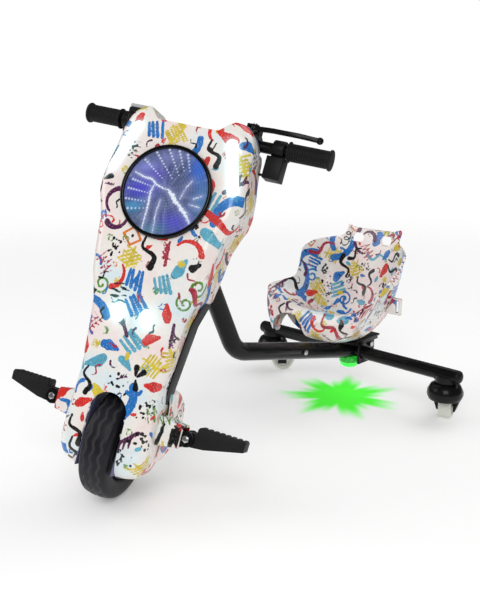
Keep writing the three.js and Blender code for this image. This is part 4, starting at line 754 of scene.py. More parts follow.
def makeShell():
    form = bowForm(shellTable, 0.03, 0.75, shell["corner"], shell["crown"], shell["taper"], pressedTop)
    obj = wrappedGrid(300, 216, form, 1e-7)
    dropOpenSide(obj, shellFine, shellBack, shell["drop"] + 4, shell["dipHeight"] - 6)
    openUp(obj, shellOpenings)
    applyModifier(obj, "SOLIDIFY", thickness=shell["wall"] * mm, offset=-1)
    joinPieces(obj, bossSleeve(1), bossSleeve(-1))
    (footX, footZ), (topX, topZ), (lampX, lampZ) = shell["stripFoot"], shell["stripTop"], shell["lamp"]
    # painted lamp light on the shell skin round each light strip and headlamp
    glows = []
    for side in (-1, 1):
        glows.append(((side * footX, -90, footZ), (side * topX, -88, topZ), 10.2, 4.4))
        glows.append(((side * lampX, -90, lampZ), (side * lampX, -90, lampZ), 14, 10))
    count = layPrint(obj, 11, glows=glows)
    finishPiece(obj, "shellSkin", "steering", "print", "front_shell", place=columnPlace, smooth=50)
    print("front shell", len(obj.data.polygons), "faces,", count, "motifs")


makeShell()

# rear fender: the shell's lower back, behind the wheel; rows of height, half width and back
fender = {
    "bottom": -29.0, "top": 129.0, "halfWidth": 90.0, "back": 91.0, "wall": 3.2, "corner": 26.0, "front": 9.9,
    "wheelRadius": 113.0, "wheelHalf": 38.0, "legHalf": 55.2, "legBack": 15.6, "legLow": 105.0,
    "rows": [(0, 0.68, 0.22), (0.035, 0.8, 0.34), (0.12, 0.94, 0.5), (0.2, 0.985, 0.61), (0.43, 1, 0.86),
             (0.65, 1, 1), (0.8, 0.965, 0.94), (0.92, 0.9, 0.72), (1, 0.78, 0.36)],
}


def fenderOpenings(points):
    x, y, z = points.T
    wheel = np.maximum(np.hypot(y, z) - fender["wheelRadius"], np.abs(x) - fender["wheelHalf"])
    legs = np.max([np.abs(x) - fender["legHalf"], y - fender["legBack"], fender["legLow"] - z], axis=0)
    return np.minimum(wheel, legs)


def makeFender():
    rows = [(height, half, -back, fender["front"]) for height, half, back in fender["rows"]]
    scales = (fender["halfWidth"], fender["back"], 1)
    table = rowTable(rows, fender["bottom"], fender["top"] - fender["bottom"], scales)
    obj = wrappedGrid(200, 120, bowForm(table, 0.08, 0.9, fender["corner"], 0, 0), 1e-7)
    dropOpenSide(obj, table[0], table[1][2], fender["bottom"] + 4, fender["top"] - 4)
    openUp(obj, fenderOpenings)
    applyModifier(obj, "SOLIDIFY", thickness=fender["wall"] * mm, offset=-1)
    layPrint(obj, 23)
    finishPiece(obj, "rearFender", "steering", "print", "rear_fender", place=columnPlace, smooth=50)


makeFender()
print("rear fender made")

# round mirror light, tilted with the shell's face
disc = {"radius": 87.7, "bore": 80.3, "rise": 8.0, "lensRadius": 80.0, "lensBack": 0.3, "lensFront": 2.8,
        "turn": 15.5}
discLow, discLevel, discHigh = (float(np.interp(shell["discHeight"] + part, shellFine, shellFront))
                                for part in (-disc["radius"], 0, disc["radius"]))
discTilt = math.atan2(discLow - discHigh, 2 * disc["radius"])
discPlace = (columnPlace @ Matrix.Translation((0, -discLevel * mm, shell["discHeight"] * mm))
             @ Matrix.Rotation(math.pi / 2 - discTilt, 4, "X"))


def makeBezel():
    bore, radius, rise = disc["bore"], disc["radius"], disc["rise"]
    profile = [(bore, 0.4), (radius, 0.4), *arcProfile((radius - 4, rise - 4.2), 4, 0, 90, 8),
               *arcProfile((bore + 1.6, rise - 2.2), 1.6, 90, 180, 5), (bore, 0.4)]
    finishPiece(spunPiece(profile, 160), "discBezel", "steering", "gloss", "disc_bezel",
                place=discPlace, smooth=40)


# for a lens of radius 1: each flash's path, thin and thick half width, and raggedness;
# each row of lights' start, end and count
flashes = [
    ([(-0.74, 0.5), (-0.5, 0.36), (-0.36, 0.33), (-0.2, 0.16), (-0.02, 0.06), (0.07, 0.03)],
     0.006, 0.024, 0.02),
    ([(0.07, 0.03), (0.15, -0.1), (0.26, -0.26), (0.4, -0.44), (0.5, -0.6), (0.6, -0.79)],
     0.012, 0.045, 0.06),
    ([(-0.27, 0.19), (-0.36, 0.02), (-0.4, -0.26), (-0.47, -0.55), (-0.54, -0.84)], 0.006, 0.024, 0.02),
    ([(-0.12, -0.2), (-0.2, -0.42), (-0.24, -0.66), (-0.28, -0.95)], 0.001, 0.008, 0.02),
    ([(0.62, 0.2), (0.5, 0.08), (0.4, -0.1), (0.34, -0.2)], 0.001, 0.008, 0.02),
    ([(0.86, -0.16), (0.66, -0.22)], 0.001, 0.006, 0.01), ([(0.8, -0.42), (0.58, -0.34)], 0.001, 0.006, 0.01)]
lightRows = [
    ((-0.52, 0.78), (-0.1, 0.32), 9), ((-0.24, 0.93), (0.14, 0.3), 10), ((0.06, 0.97), (0.3, 0.36), 9),
    ((0.3, 0.92), (0.42, 0.46), 7), ((-0.8, 0.34), (-0.38, 0.16), 8), ((-0.9, 0.14), (-0.44, 0.0), 8),
    ((-0.95, -0.1), (-0.5, -0.2), 7), ((-0.9, -0.34), (-0.52, -0.36), 5), ((0.5, 0.82), (0.56, 0.44), 6)]


# a sheet with a front and a back that meet at its edge, for a lens
def lensShare(out, overlap):
    return np.clip(np.minimum(out, 1 - out) * overlap, 0, 1)


def makeLens():
    def form(around, out):
        turn, reach = around * 2 * math.pi, lensShare(out, 2.04) * disc["lensRadius"]
        depth = np.where(out < 0.5, disc["lensFront"], disc["lensBack"])
        return np.stack([reach * np.cos(turn), reach * np.sin(turn), depth], 1)
    obj = wrappedGrid(300, 190, form)
    x, y, _ = meshPoints(obj).T / mm / disc["lensRadius"]
    cos, sin = math.cos(math.radians(disc["turn"])), math.sin(math.radians(disc["turn"]))
    across, up = x * cos + y * sin, y * cos - x * sin
    flash, lights = np.full(len(up), 1.0), np.full(len(up), 1.0)
    for path, thin, thick, ragged in flashes:
        line, widths = [], []
        for share in np.linspace(0, 1, 34):
            place = share * (len(path) - 1)
            x, y = (np.interp(place, range(len(path)), [point[part] for point in path]) for part in (0, 1))
            line.append((x + ragged * 0.4 * math.sin(share * 97), y + ragged * 0.2 * math.cos(share * 61)))
            swell = math.sin(math.pi * min(1, 0.1 + share))
            widths.append(thin + (thick - thin) * swell * (0.62 + 0.38 * math.cos(share * 120)))
        flash = np.minimum(flash, stroke(across, up, line, *widths))
    for start, end, count in lightRows:
        for share in np.linspace(0, 1, count):
            x, y = (first + (last - first) * share for first, last in zip(start, end))
            lights = np.minimum(lights, np.hypot(across - x, up - y) / (1 - 0.45 * share))
    for name, values in (("Across", across), ("Up", up), ("Flash", flash), ("Lights", lights)):
        layValues(obj, "lens" + name, values)
    finishPiece(obj, "discLens", "steering", "mirror", "disc_lens", place=discPlace, smooth=40)


# lit colours in the mirror: middle, size and colour of each patch
mirrorPatches = [
    ((-0.6, 0.1), (0.42, 0.26), (0.07, 0.06, 0.66)), ((-0.3, 0.42), (0.34, 0.2), (0.11, 0.08, 0.52)),
    ((0.76, 0.42), (0.22, 0.42), (0.03, 0.15, 0.72)), ((0.22, -0.74), (0.4, 0.26), (0.09, 0.08, 0.6)),
    ((-0.78, -0.3), (0.26, 0.14), (0.04, 0.3, 0.55)), ((-0.46, 0.62), (0.3, 0.12), (0.24, 0.26, 0.72)),
    ((0.84, -0.24), (0.24, 0.4), (0.05, 0.2, 0.44)), ((-0.3, -0.86), (0.34, 0.14), (0.06, 0.22, 0.3)),
    ((0.42, 0.02), (0.3, 0.3), (0.08, 0.1, 0.22)), ((0.1, 0.8), (0.4, 0.16), (0.2, 0.22, 0.5))]


# falls from 1 at the patch's middle
def patchShare(tree, across, up, centre, size):
    steps = [product(tree, offCentre(tree, value, middle), 1 / half)
             for value, middle, half in zip((across, up), centre, size)]
    gone = total(tree, *(product(tree, step, step) for step in steps))
    return maths(tree, "EXPONENT", product(tree, gone, -1.0))


def makeMirror():
    material, tree, shader = newMaterial("discMirror")
    across, up, flash, lights = (attributeValue(tree, "lens" + name)
                                 for name in ("Across", "Up", "Flash", "Lights"))
    radius = planeLength(tree, across, up)
    # streaks that run outwards, crossed by fine rings
    polar = addNode(tree, "CombineXYZ")
    for slot, value in zip(polar.inputs, (across, up)):
        link(tree, maths(tree, "DIVIDE", value, total(tree, radius, 0.02)), slot)
    link(tree, product(tree, radius, 0.3), polar.inputs[2])
    streak = addNode(tree, "TexNoise")
    setInputs(streak, {"Scale": 7.0, "Detail": 5.0, "Roughness": 0.75})
    link(tree, polar.outputs[0], streak.inputs["Vector"])
    colour = ramp(tree, streak.outputs["Fac"], [(0.36, (0.04, 0.046, 0.105)), (0.46, (0.066, 0.082, 0.175)),
                                                (0.55, (0.105, 0.14, 0.26)), (0.67, (0.24, 0.3, 0.44))])
    for centre, size, patch in mirrorPatches:
        share = product(tree, patchShare(tree, across, up, centre, size), 0.82)
        colour = mixColour(tree, share, colour, patch)
    rings = maths(tree, "SINE", product(tree, radius, 95.0))
    halo = product(tree, maths(tree, "EXPONENT", product(tree, flash, -18.0)), 0.5)
    jagged = total(tree, flash, shaken(tree, 520, 2, 0.11))
    for share, tone in ((remap(tree, rings, -0.2, 1, 0, 0.12, True), (0.36, 0.44, 0.62)),
                        (halo, (0.42, 0.46, 0.8)),
                        (remap(tree, lights, 0.046, 0.008, 0, 0.8, True), (0.74, 0.8, 1.0)),
                        (remap(tree, jagged, 0.012, -0.012, smooth=True), (0.84, 0.92, 1.0))):
        colour = mixColour(tree, share, colour, tone)
    link(tree, colour, shader.inputs["Emission Color"])
    setInputs(shader, {"Base Color": (0.004, 0.005, 0.012, 1), "Emission Strength": 0.92, "Roughness": 0.1,
                       "Specular IOR Level": 0.3})
    return material


paints["mirror"] = makeMirror()


# how far forward the shell's face stands
def shellFace(x, z):
    halfWidth, face = np.interp(z, shellFine, shellHalf), np.interp(z, shellFine, shellFront)
    corner, crown = np.minimum(shell["corner"], halfWidth / 2), shell["crown"]
    flat = halfWidth - corner
    onCorner = np.sqrt(np.maximum(1 - np.clip((np.abs(x) - flat) / corner, 0, 1) ** 2, 0))
    return np.where(np.abs(x) < flat, face - crown * (x / flat) ** 2, face - crown - corner * (1 - onCorner))


# a lens patch that follows the shell's face; outline gives x and z for a turn
def lensPatch(centre, outline, columns):
    def form(around, out):
        edgeX, edgeZ = outline(around * 2 * math.pi)
        reach = lensShare(out, 2.08)
        x, z = centre[0] + reach * edgeX, centre[1] + reach * edgeZ
        lift = np.where(out < 0.5, shell["lensProud"] * (1 - reach**8), -shell["lensDepth"])
        return np.stack([x, -(shellFace(x, z) + lift), z], 1)
    return wrappedGrid(columns, 40, form, 2e-6)


def makeLamps():
    (topX, topZ), (footX, footZ), (lampX, lampZ) = shell["stripTop"], shell["stripFoot"], shell["lamp"]
    halfLength = math.hypot(topX - footX, topZ - footZ) / 2
    for side, word in ((1, "Left"), (-1, "Right")):
        lean = math.atan2(topZ - footZ, side * (topX - footX))
        cos, sin = math.cos(lean), math.sin(lean)

        def strip(turn):
            along = np.cos(turn) * shell["stripLens"] + np.sign(np.cos(turn)) * halfLength
            across = np.sin(turn) * shell["stripLens"]
            return along * cos - across * sin, along * sin + across * cos

        def lamp(turn):
            return shell["lampLens"][0] * np.cos(turn), shell["lampLens"][1] * np.sin(turn)
        middle = (side * (topX + footX) / 2, (topZ + footZ) / 2)
        finishPiece(lensPatch(middle, strip, 160), "lightStrip" + word, "steering", "strip",
                    "strip_lens_" + word.lower(), place=columnPlace, smooth=50)
        finishPiece(lensPatch((side * lampX, lampZ), lamp, 96), "headlamp" + word, "steering", "lamp",
                    "headlamp_lens_" + word.lower(), place=columnPlace, smooth=50)


makeBezel()
makeLens()
makeLamps()
print("lights made")

# front wheel: half the tyre's section as across and out, and half the hub's as out and across
tyre = {"profile": [(21, 66), (25.4, 70), (28.2, 77), (29, 84), (28.5, 91), (26.6, 97), (22.5, 101.2),
                    (15, 103.5), (7, 104.4)], "crown": 104.6, "treadFrom": 96.0, "grooves": (-16, 0, 16),
        "grooveHalf": 1.5, "grooveDepth": 2.0, "waves": 22, "wave": 2.0}
hub = {"profile": [(6.4, 43.2), (19, 43.2), (20, 42.2), (20, 29.6), (21, 28.8), (50, 28.8), (52, 27.8),
                   (54, 25.6), (63, 24.6), (65.6, 20.6)],
       "screws": 8, "screwSize": 3.0, "screwRing": 44.0, "screwOut": 28.6}


def grooveGap(across, turn):
    wave = tyre["wave"] * np.sin(turn * tyre["waves"])
    return np.min([np.abs(across - groove - wave) for groove in tyre["grooves"]], axis=0) / tyre["grooveHalf"]


def makeTyre():
    half = np.array(tyre["profile"], float)
    loop = np.concatenate([half, [[0, tyre["crown"]]], half[::-1] * [-1, 1], half[:1]])
    lengths = pathLengths(loop)
    steps = np.linspace(0, 1, 400)
    across, out = (softened(np.interp(steps * lengths[-1], lengths, loop[:, part]), 6) for part in (0, 1))

    def form(around, along):
        turn = around * 2 * math.pi
        x, r = np.interp(along, steps, across), np.interp(along, steps, out)
        r = r - tyre["grooveDepth"] * np.clip(1.6 - grooveGap(x, turn), 0, 1) * (r > tyre["treadFrom"])
        return np.stack([x, r * np.cos(turn), r * np.sin(turn)], 1)
    obj = wrappedGrid(560, 120, form)
    x, y, z = meshPoints(obj).T / mm
    tread = np.hypot(y, z) > tyre["treadFrom"]
    # the grooves on the tread get a painted highlight
    layValues(obj, "grooveHighlight", np.clip(2.2 - grooveGap(x, np.arctan2(z, y)), 0, 1) * tread)
    finishPiece(obj, "tyreRubber", "front_wheel", "tyre", "tyre", place=columnPlace, smooth=50)


def makeHub():
    obj = spunPiece(mirroredProfile(hub["profile"]), 120, (1, 0, 0))
    size, ring, screws = hub["screwSize"] * mm, hub["screwRing"] * mm, []
    for side in (1, -1):
        for turn in np.arange(hub["screws"]) * 2 * math.pi / hub["screws"]:
            place = (side * hub["screwOut"] * mm, ring * math.cos(turn), ring * math.sin(turn))
            screws.append(primitive(bpy.ops.mesh.primitive_cylinder_add, vertices=24, radius=size, depth=size,
                                    rotation=(0, math.pi / 2, 0), location=place))
            bakePlace(screws[-1])
    joinPieces(obj, *screws)
    finishPiece(obj, "hubMotor", "front_wheel", "hub", "hub_motor", place=columnPlace, smooth=35)


makeTyre()
makeHub()
print("front wheel made")

# handlebar, grips and display, in the column's frame
bar = {"radius": 11.0, "back": 8.0, "height": 609.4, "middle": 579.0, "half": 247.0, "bendInner": 57.0,
       "bendOuter": 80.0, "bendReach": 9.0}
grip = {"outer": 255.5, "bore": 11.4, "radius": 17.0, "flange": 20.0, "flangeWidth": 5.0, "pitch": 4.6,
        "groove": 0.9, "plug": 60.0}
display = {"left": -163.0, "right": -112.0, "clampRight": -129.0, "back": 28.0, "front": -12.0, "low": 591.0,
           "shelf": 621.0, "lid": 628.0, "top": 640.9}


# a line through corners, each rounded off with the given reach
def roundedPath(corners, reach):
    corners = [Vector(corner) for corner in corners]
    path = [corners[0]]
    for before, corner, after in zip(corners, corners[1:], corners[2:]):
        start = corner + (before - corner).normalized() * reach
        end = corner + (after - corner).normalized() * reach
        for share in np.linspace(0, 1, 9):
            path.append(start.lerp(corner, share).lerp(corner.lerp(end, share), share))
    return path + [corners[-1]]


def makeHandlebar():
    back, height = bar["back"], bar["height"]
    half = [(bar["half"], height), (bar["bendOuter"], height), (bar["bendInner"], bar["middle"])]
    corners = [(x, back, z) for x, z in half] + [(-x, back, z) for x, z in reversed(half)]
    obj = tubePiece(roundedPath(corners, bar["bendReach"]), bar["radius"], 40)
    finishPiece(obj, "handlebarTube", "steering", "frame", "handlebar", place=columnPlace, smooth=50)


def makeGrip(side, inner, word):
    bore, radius, flange, outer = (grip[key] for key in ("bore", "radius", "flange", "outer"))
    profile = [(bore, inner), (flange - 0.6, inner), (flange, inner + 0.6), (flange, inner + 2.4),
               (flange - 0.6, inner + 3), (radius, inner + 3.4)]
    end, groove = outer - grip["flangeWidth"], radius - grip["groove"]
    for start in np.arange(inner + 7, end - 6, grip["pitch"]):
        profile += [(radius, start), (groove, start + 0.5), (groove, start + 1.3), (radius, start + 1.8)]
    profile += [(radius, end - 0.8), (flange - 0.8, end),
                *arcProfile((flange - 2.6, outer - 2.6), 2.6, 0, 90), (0.01, outer),
                (0.01, inner + grip["plug"]), (bore, inner + grip["plug"]), (bore, inner)]
    place = columnPlace @ Matrix.Translation((0, bar["back"] * mm, bar["height"] * mm))
    finishPiece(spunPiece(profile, 64, (side, 0, 0)), "rubberGrip" + word, "steering", "rubber",
                "grip_" + word.lower(), place=place, smooth=35)


# a box between two corners in millimetres, with rounded edges
def easedBox(low, high, radius, segments):
    obj = primitive(bpy.ops.mesh.primitive_cube_add, size=1)
    low, high = np.array(low, float), np.array(high, float)
    setPoints(obj, (meshPoints(obj) * (high - low) + (low + high) / 2) * mm)
    applyModifier(obj, "BEVEL", width=radius * mm, segments=segments, limit_method="NONE")
    return obj


def makeDisplay():
    front, back, left, right, top, shelf, lid = (display[key] for key in
                                                 ("front", "back", "left", "right", "top", "shelf", "lid"))
    housing = easedBox((left, front, shelf), (right, back, lid + 4.7), 2.2, 4)
    clamp = easedBox((left, front, display["low"]), (display["clampRight"], back, shelf + 2), 5, 5)
    finishPiece(joinPieces(housing, clamp), "displayBody", "steering", "plastic", "display_housing",
                place=columnPlace, smooth=35)
    cover = easedBox((left + 0.4, front + 0.4, lid + 5), (right - 0.4, back - 0.4, top - 0.6), 3.2, 5)
    finishPiece(cover, "displayLid", "steering", "grey", "display_window", place=columnPlace, smooth=40)
    screen = easedBox((left + 7, front + 6, top - 1.4), (right - 7, back - 8, top), 0.6, 2)
    finishPiece(screen, "displayScreen", "steering", "gloss", slotName="display_grey", place=columnPlace)


makeHandlebar()
makeGrip(1, 171.0, "Left")
makeGrip(-1, 181.0, "Right")
makeDisplay()
print("handlebar made")

# rear frame: tubes keep the CAD's size, with weld beads laid where they meet
weld = {"radius": 2.1, "step": 1.3, "ripple": 0.22}
crossTube = {"y": 742.0, "height": 114.0, "radius": 16.0, "socketX": 268.0, "socketRadius": 25.0}
mainTube = {"radius": 20.0, "join": 453.6, "lowY": 317.0, "lowHeight": 209.0, "headRadius": 25.0}


def beadPiece(points):
    path = np.array(points, float)
    lengths = pathLengths(path)
    fine = np.linspace(0, lengths[-1], max(8, int(lengths[-1] / weld["step"])))
    line = np.stack([np.interp(fine, lengths, path[:, part]) for part in range(3)], 1)
    obj = tubePiece(line.tolist(), weld["radius"], 12, weld["ripple"])
    bakePlace(obj, rearPlace)
    return obj


# where one round tube meets another: points on the first that lie on the second's skin
def meetingPath(start, direction, radius, otherPoint, otherDirection, otherRadius):
    start, otherPoint = Vector(start), Vector(otherPoint)
    direction, otherDirection = Vector(direction).normalized(), Vector(otherDirection).normalized()
    side = direction.orthogonal().normalized()
    up = direction.cross(side)
    flatWay = direction - otherDirection * direction.dot(otherDirection)
    path = []
    for turn in np.linspace(0, 2 * math.pi, 73):
        root = start + (side * math.cos(turn) + up * math.sin(turn)) * radius - otherPoint
        flatRoot = root - otherDirection * root.dot(otherDirection)
        a, b, c = flatWay.dot(flatWay), 2 * flatRoot.dot(flatWay), flatRoot.dot(flatRoot) - otherRadius**2
        inside = b * b - 4 * a * c
        if inside >= 0:
            path.append(tuple(root + direction * ((-b + math.sqrt(inside)) / (2 * a)) + otherPoint))
    return path


def makeMainFrame():
    obj = easedNode("main_frame", 1.2, 38)
    y, height, radius, socketRadius = (crossTube[key] for key in ("y", "height", "radius", "socketRadius"))
    inner = math.sqrt(socketRadius**2 - radius**2)
    beads = []
    for side in (1, -1):
        x = side * crossTube["socketX"]
        for way in (1, -1):
            path = meetingPath((x, y, height), (way, 0, 0), radius, (x, y, 0), (0, 0, 1), socketRadius)
            beads.append(beadPiece(sorted((point for point in path if point[2] < height + 0.5),
                                          key=lambda point: point[1])))
        for face in (1, -1):
            beads.append(beadPiece([(x + part * inner, y + face * radius, height)
                                    for part in np.linspace(-1, 1, 12)]))
    rake = Matrix.Translation((0, 0, steerZ / mm)) @ rakePlace
    start = rake @ Vector((0, 0, mainTube["join"]))
    corner = Vector((0, mainTube["lowY"], mainTube["lowHeight"]))
    beads.append(beadPiece(meetingPath(start, corner - start, mainTube["radius"], start,
                                       rake.to_3x3() @ Vector((0, 0, 1)), mainTube["headRadius"])))
    joinPieces(obj, *beads)
    finishPiece(obj, "mainFrame", "frame", "frame", "main_frame", smooth=38)


makeMainFrame()
print("main frame made")

# green dome under the frame
dome = {"y": 732.0, "radius": 23.0, "top": 87.7, "bottom": 71.0, "base": 5.0}


def makeDome():
    radius, top, shoulder = dome["radius"], dome["top"], dome["top"] - dome["base"]
    profile = [(0.01, top), (radius, top), (radius, shoulder)]
    for turn in np.linspace(0, math.pi / 2, 16)[1:]:
        drop = (shoulder - dome["bottom"]) * math.sin(turn)
        profile.append((max(0.01, radius * math.cos(turn)), shoulder - drop))
    obj = spunPiece(profile, 72)
    cleanMesh(obj, 2e-5)
    place = rearPlace @ Matrix.Translation((0, dome["y"] * mm, 0))
    finishPiece(obj, "underLampDome", "frame", "green", "under_lamp_lens", place=place, smooth=40)


makeDome()

# caster wheels: milky tread, a hub step and a groove round each cheek
casterWheel = {"radius": 31.5, "half": 15.0, "bore": 4.4, "core": 11.0, "edge": 5.5, "trail": 28.0,
               "rest": {"Left": 16.0, "Right": -46.0}}


def makeCasterWheel(word):
    radius, half, bore, core, edge = (casterWheel[key] for key in ("radius", "half", "bore", "core", "edge"))
    side = [(bore, half - 1.2), (core - 1, half - 1.2), (core, half - 2.2), (core + 2, half - 3.4),
            (radius * 0.66, half - 3.2), (radius * 0.72, half - 0.6), (radius - edge, half - 0.2)]
    shoulder = arcProfile((radius - edge, half - 0.2 - edge), edge, 90, 12, 8)
    obj = spunPiece(mirroredProfile(side + shoulder[1:], (radius, 0)), 96, (1, 0, 0))
    x, y, _ = joints["caster_swivel_" + word.lower()]["pos_m"]
    turn = Matrix.Rotation(math.radians(casterWheel["rest"][word]), 4, "Z")
    trail = Matrix.Translation((0, casterWheel["trail"] * mm, 0))
    place = Matrix.Translation((x, y, radius * mm)) @ turn @ trail
    finishPiece(obj, "casterWheel" + word, "roller_" + word.lower(), "milk", "caster_wheel_" + word.lower(),
                place=place, smooth=35)


makeCasterWheel("Left")
makeCasterWheel("Right")
print("caster wheels made")

# bucket seat: each row gives y and z on the upper skin, on the lower skin and on the rolled edge,
# and its half width
seat = {
    "frontY": 571.0, "length": 255.0, "bottomZ": 156.6, "height": 262.0, "halfWidth": 150.0, "drop": 9.0,
    "roll": 4.2, "power": 3.0, "cap": 0.03, "turning": 0.06, "slotX": 42.0, "slotHalf": (18.0, 11.5),
    "slotHeight": 388.0, "archX": -72.0, "archHalf": (48.0, 43.2), "archMiddle": 185.8, "archFoot": 140.0,
    "archEnd": 618.0,
    "legDrop": 64.0, "legBegins": 0.42, "legFull": 0.7, "legEnds": 0.05, "legGone": 0.2,
    "rows": [
        (0.035, 0.295, 0.006, 0.26, 0.004, 0.37, 0.86), (0.07, 0.33, 0, 0.17, 0.03, 0.47, 0.97),
        (0.15, 0.32, 0.05, 0.09, 0.11, 0.505, 1), (0.29, 0.265, 0.2, 0.03, 0.24, 0.52, 0.95),
        (0.46, 0.18, 0.38, 0, 0.38, 0.545, 0.89), (0.61, 0.16, 0.56, 0, 0.46, 0.615, 0.92),
        (0.72, 0.22, 0.76, 0.08, 0.53, 0.71, 0.98), (0.8, 0.4, 0.875, 0.3, 0.59, 0.79, 1),
        (0.855, 0.6, 0.92, 0.55, 0.69, 0.845, 0.93), (0.895, 0.76, 0.95, 0.74, 0.81, 0.875, 0.74),
        (0.925, 0.86, 0.97, 0.85, 0.9, 0.9, 0.57), (0.95, 0.93, 0.985, 0.93, 0.955, 0.955, 0.535),
        (0.965, 0.962, 0.995, 0.97, 0.975, 1, 0.535)],
}


# the rows joined by a smooth curve through them
def seatRow(share):
    rows = np.array(seat["rows"], float)
    place = np.clip(share, 0, 1) * (len(rows) - 1)
    first = np.minimum(place.astype(int), len(rows) - 2)
    t = (place - first)[:, None]
    p, a, b, n = (rows[np.clip(first + step, 0, len(rows) - 1)] for step in (-1, 0, 1, 2))
    return (a + t * ((b - p) / 2 + t * (p - 2.5 * a + 2 * b - n / 2 + t * (1.5 * (a - b) + (n - p) / 2)))).T


# a closed ring per row: over the top from side to side, round the edge, back underneath and round again
def seatForm(around, up):
    cap, turning = seat["cap"], seat["turning"]
    upY, upZ, lowY, lowZ, edgeY, edgeZ, width = seatRow((up - cap) / (1 - 2 * cap))
    draw = np.clip(np.maximum(cap - up, up - 1 + cap) / cap, 0, 1)
    close = np.sqrt(np.maximum(1 - draw**2, 0))
    half = 0.5 - turning
    parts = [around < half, (around >= 0.5) & (around < 1 - turning), around < 0.5]
    u = np.select(parts, [around / half * 2 - 1, 1 - (around - 0.5) / half * 2, 1.0], -1.0)
    roll = np.select(parts, [0.0, 1.0, (around - half) / turning], 1 - (around - 1 + turning) / turning)
    thick = 0.5 + (roll - 0.5) * close
    share = np.abs(u) ** seat["power"]
    ends = []
    for middleY, middleZ, drop in ((upY, upZ, 0.0), (lowY, lowZ, seat["drop"])):
        y = seat["frontY"] + seat["length"] * (middleY + (edgeY - middleY) * share) + drop * 0.5 * share
        z = seat["bottomZ"] + seat["height"] * (middleZ + (edgeZ - middleZ) * share) - drop * 0.85 * share
        if drop:
            leg = seat["legDrop"] * (1 - smoothShare(lowY, seat["legEnds"], seat["legGone"]))
            z = z - leg * smoothShare(-u, seat["legBegins"], seat["legFull"])
        ends.append((y, z))
    y, z = (first + (last - first) * thick for first, last in zip(*ends))
    out = np.where(parts[0] | parts[1], 0.0, np.sin(math.pi * roll)) * close
    x = u * (seat["halfWidth"] * width - seat["roll"] * (1 - out))
    return np.stack([x, y, np.maximum(z, seat["bottomZ"])], 1)


# a rounded prism along y, used to cut a slot or, with a foot, the arch
def slotCutter(centre, halfX, halfZ, corner, fromY, toY, foot=None):
    obj = primitive(bpy.ops.mesh.primitive_cylinder_add, vertices=96, radius=1, depth=2)
    a, b, end = meshPoints(obj).T
    x = centre[0] + np.sign(a) * (halfX - corner[0]) + corner[0] * a
    z = centre[1] + np.sign(b) * (halfZ - corner[1]) + corner[1] * b
    if foot is not None:
        x = np.where(b < 0, centre[0] + np.sign(a) * halfX * np.abs(a) ** 0.02, x)
        z = np.where(b < 0, centre[1] + (foot - centre[1]) * np.minimum(1, -b * 20), z)
    setPoints(obj, np.stack([x, np.where(end < 0, fromY, toY), z], 1) * mm)
    cleanMesh(obj)
    return obj


def cutAway(obj, *cutters):
    cutter = joinPieces(*cutters)
    applyModifier(obj, "BOOLEAN", operation="DIFFERENCE", solver="EXACT", object=cutter)
    bpy.data.objects.remove(cutter, do_unlink=True)


def makeSeat():
    obj = wrappedGrid(380, 190, seatForm, 2e-6)
    (halfX, halfZ), (archX, archZ) = seat["slotHalf"], seat["archHalf"]
    middleY = seat["frontY"] + seat["length"] / 2
    slots = [slotCutter((side * seat["slotX"], seat["slotHeight"]), halfX, halfZ, (halfZ, halfZ),
                        middleY, middleY + 250) for side in (1, -1)]
    arch = slotCutter((seat["archX"], seat["archMiddle"]), archX, archZ, (archX, archZ), seat["frontY"] - 20,
                      seat["archEnd"], seat["archFoot"])
    cutAway(obj, *slots, arch)
    count = layPrint(obj, 5, 30, 0.92)
    finishPiece(obj, "bucketSeat", "seat", "print", "seat_shell", place=rearPlace, smooth=40)
    print("seat", len(obj.data.polygons), "faces,", count, "motifs")


def makeBeltGuide():
    obj = easedNode("belt_guide", 1.2)
    layPrint(obj, 9)
    finishPiece(obj, "beltGuide", "seat", "print", "belt_guide")


makeSeat()
makeBeltGuide()

# pieces whose CAD form only needs eased edges: node, body, paint, edge width and, where the piece isn't
# called after its node, its name; braces stand for each side in turn
easedPieces = [
    ("front_fork", "steering", "frame", 1.2, "forkSteel"),
    ("wheel_axle", "steering", "steel", 0.8, "axleSteel"), ("axle_nut_{}", "steering", "steel", 0.8),
    ("back_cover", "steering", "plastic", 0.5), ("wheel_liner", "steering", "liner", 0.4),
    ("battery_tray", "steering", "alloy", 0.6),
    ("battery_pack", "steering", "battery", 5.0), ("motor_controller", "steering", "alloy", 1.5),
    ("handlebar_stem", "steering", "frame", 2.0), ("thumb_throttle", "throttle", "plastic", 1.5),
    ("brake_perch", "steering", "frame", 1.5), ("lever_pin", "steering", "steel", 0.3),
    ("brake_lever", "brake", "frame", 1.2), ("switch_pod", "steering", "plastic", 2.2),
    ("power_button", "button", "grey", 0.8), ("mode_rocker", "rocker", "plastic", 0.5),
    ("foot_peg_{}", "peg_{}", "rubber", 0.9), ("peg_bolt_{}", "steering", "steel", 0.7),
    ("lower_head_bearing", "frame", "steel", 0.8), ("upper_head_bearing", "frame", "steel", 0.8),
    ("seat_bracket", "frame", "frame", 1.2), ("bracket_bolt", "frame", "steel", 0.8),
    # the under-lamp housing carries the green lamp's light as a painted glow
    ("frame_lock_bolt", "frame", "steel", 0.8), ("under_lamp_housing", "frame", "greenDark", 1.0),
    ("end_plug_{}", "frame", "plastic", 0.8), ("caster_fork_{}", "swivel_{}", "frame", 1.0),
    ("seat_slider", "seat", "frame", 0.9),
]
for pattern, body, paint, width, *name in easedPieces:
    for side in ("left", "right") if "{}" in pattern else ("",):
        node = pattern.format(side)
        first, *rest = node.split("_")
        ownName = name[0] if name else first + "".join(word.title() for word in rest)
        finishPiece(easedNode(node, width), ownName, body.format(side), paint, node)
for node in ("disc_board", "disc_cup"):
    nodes[node].data.materials.clear()
    nodes[node].data.materials.append(paints["plastic"])
print("eased pieces made")

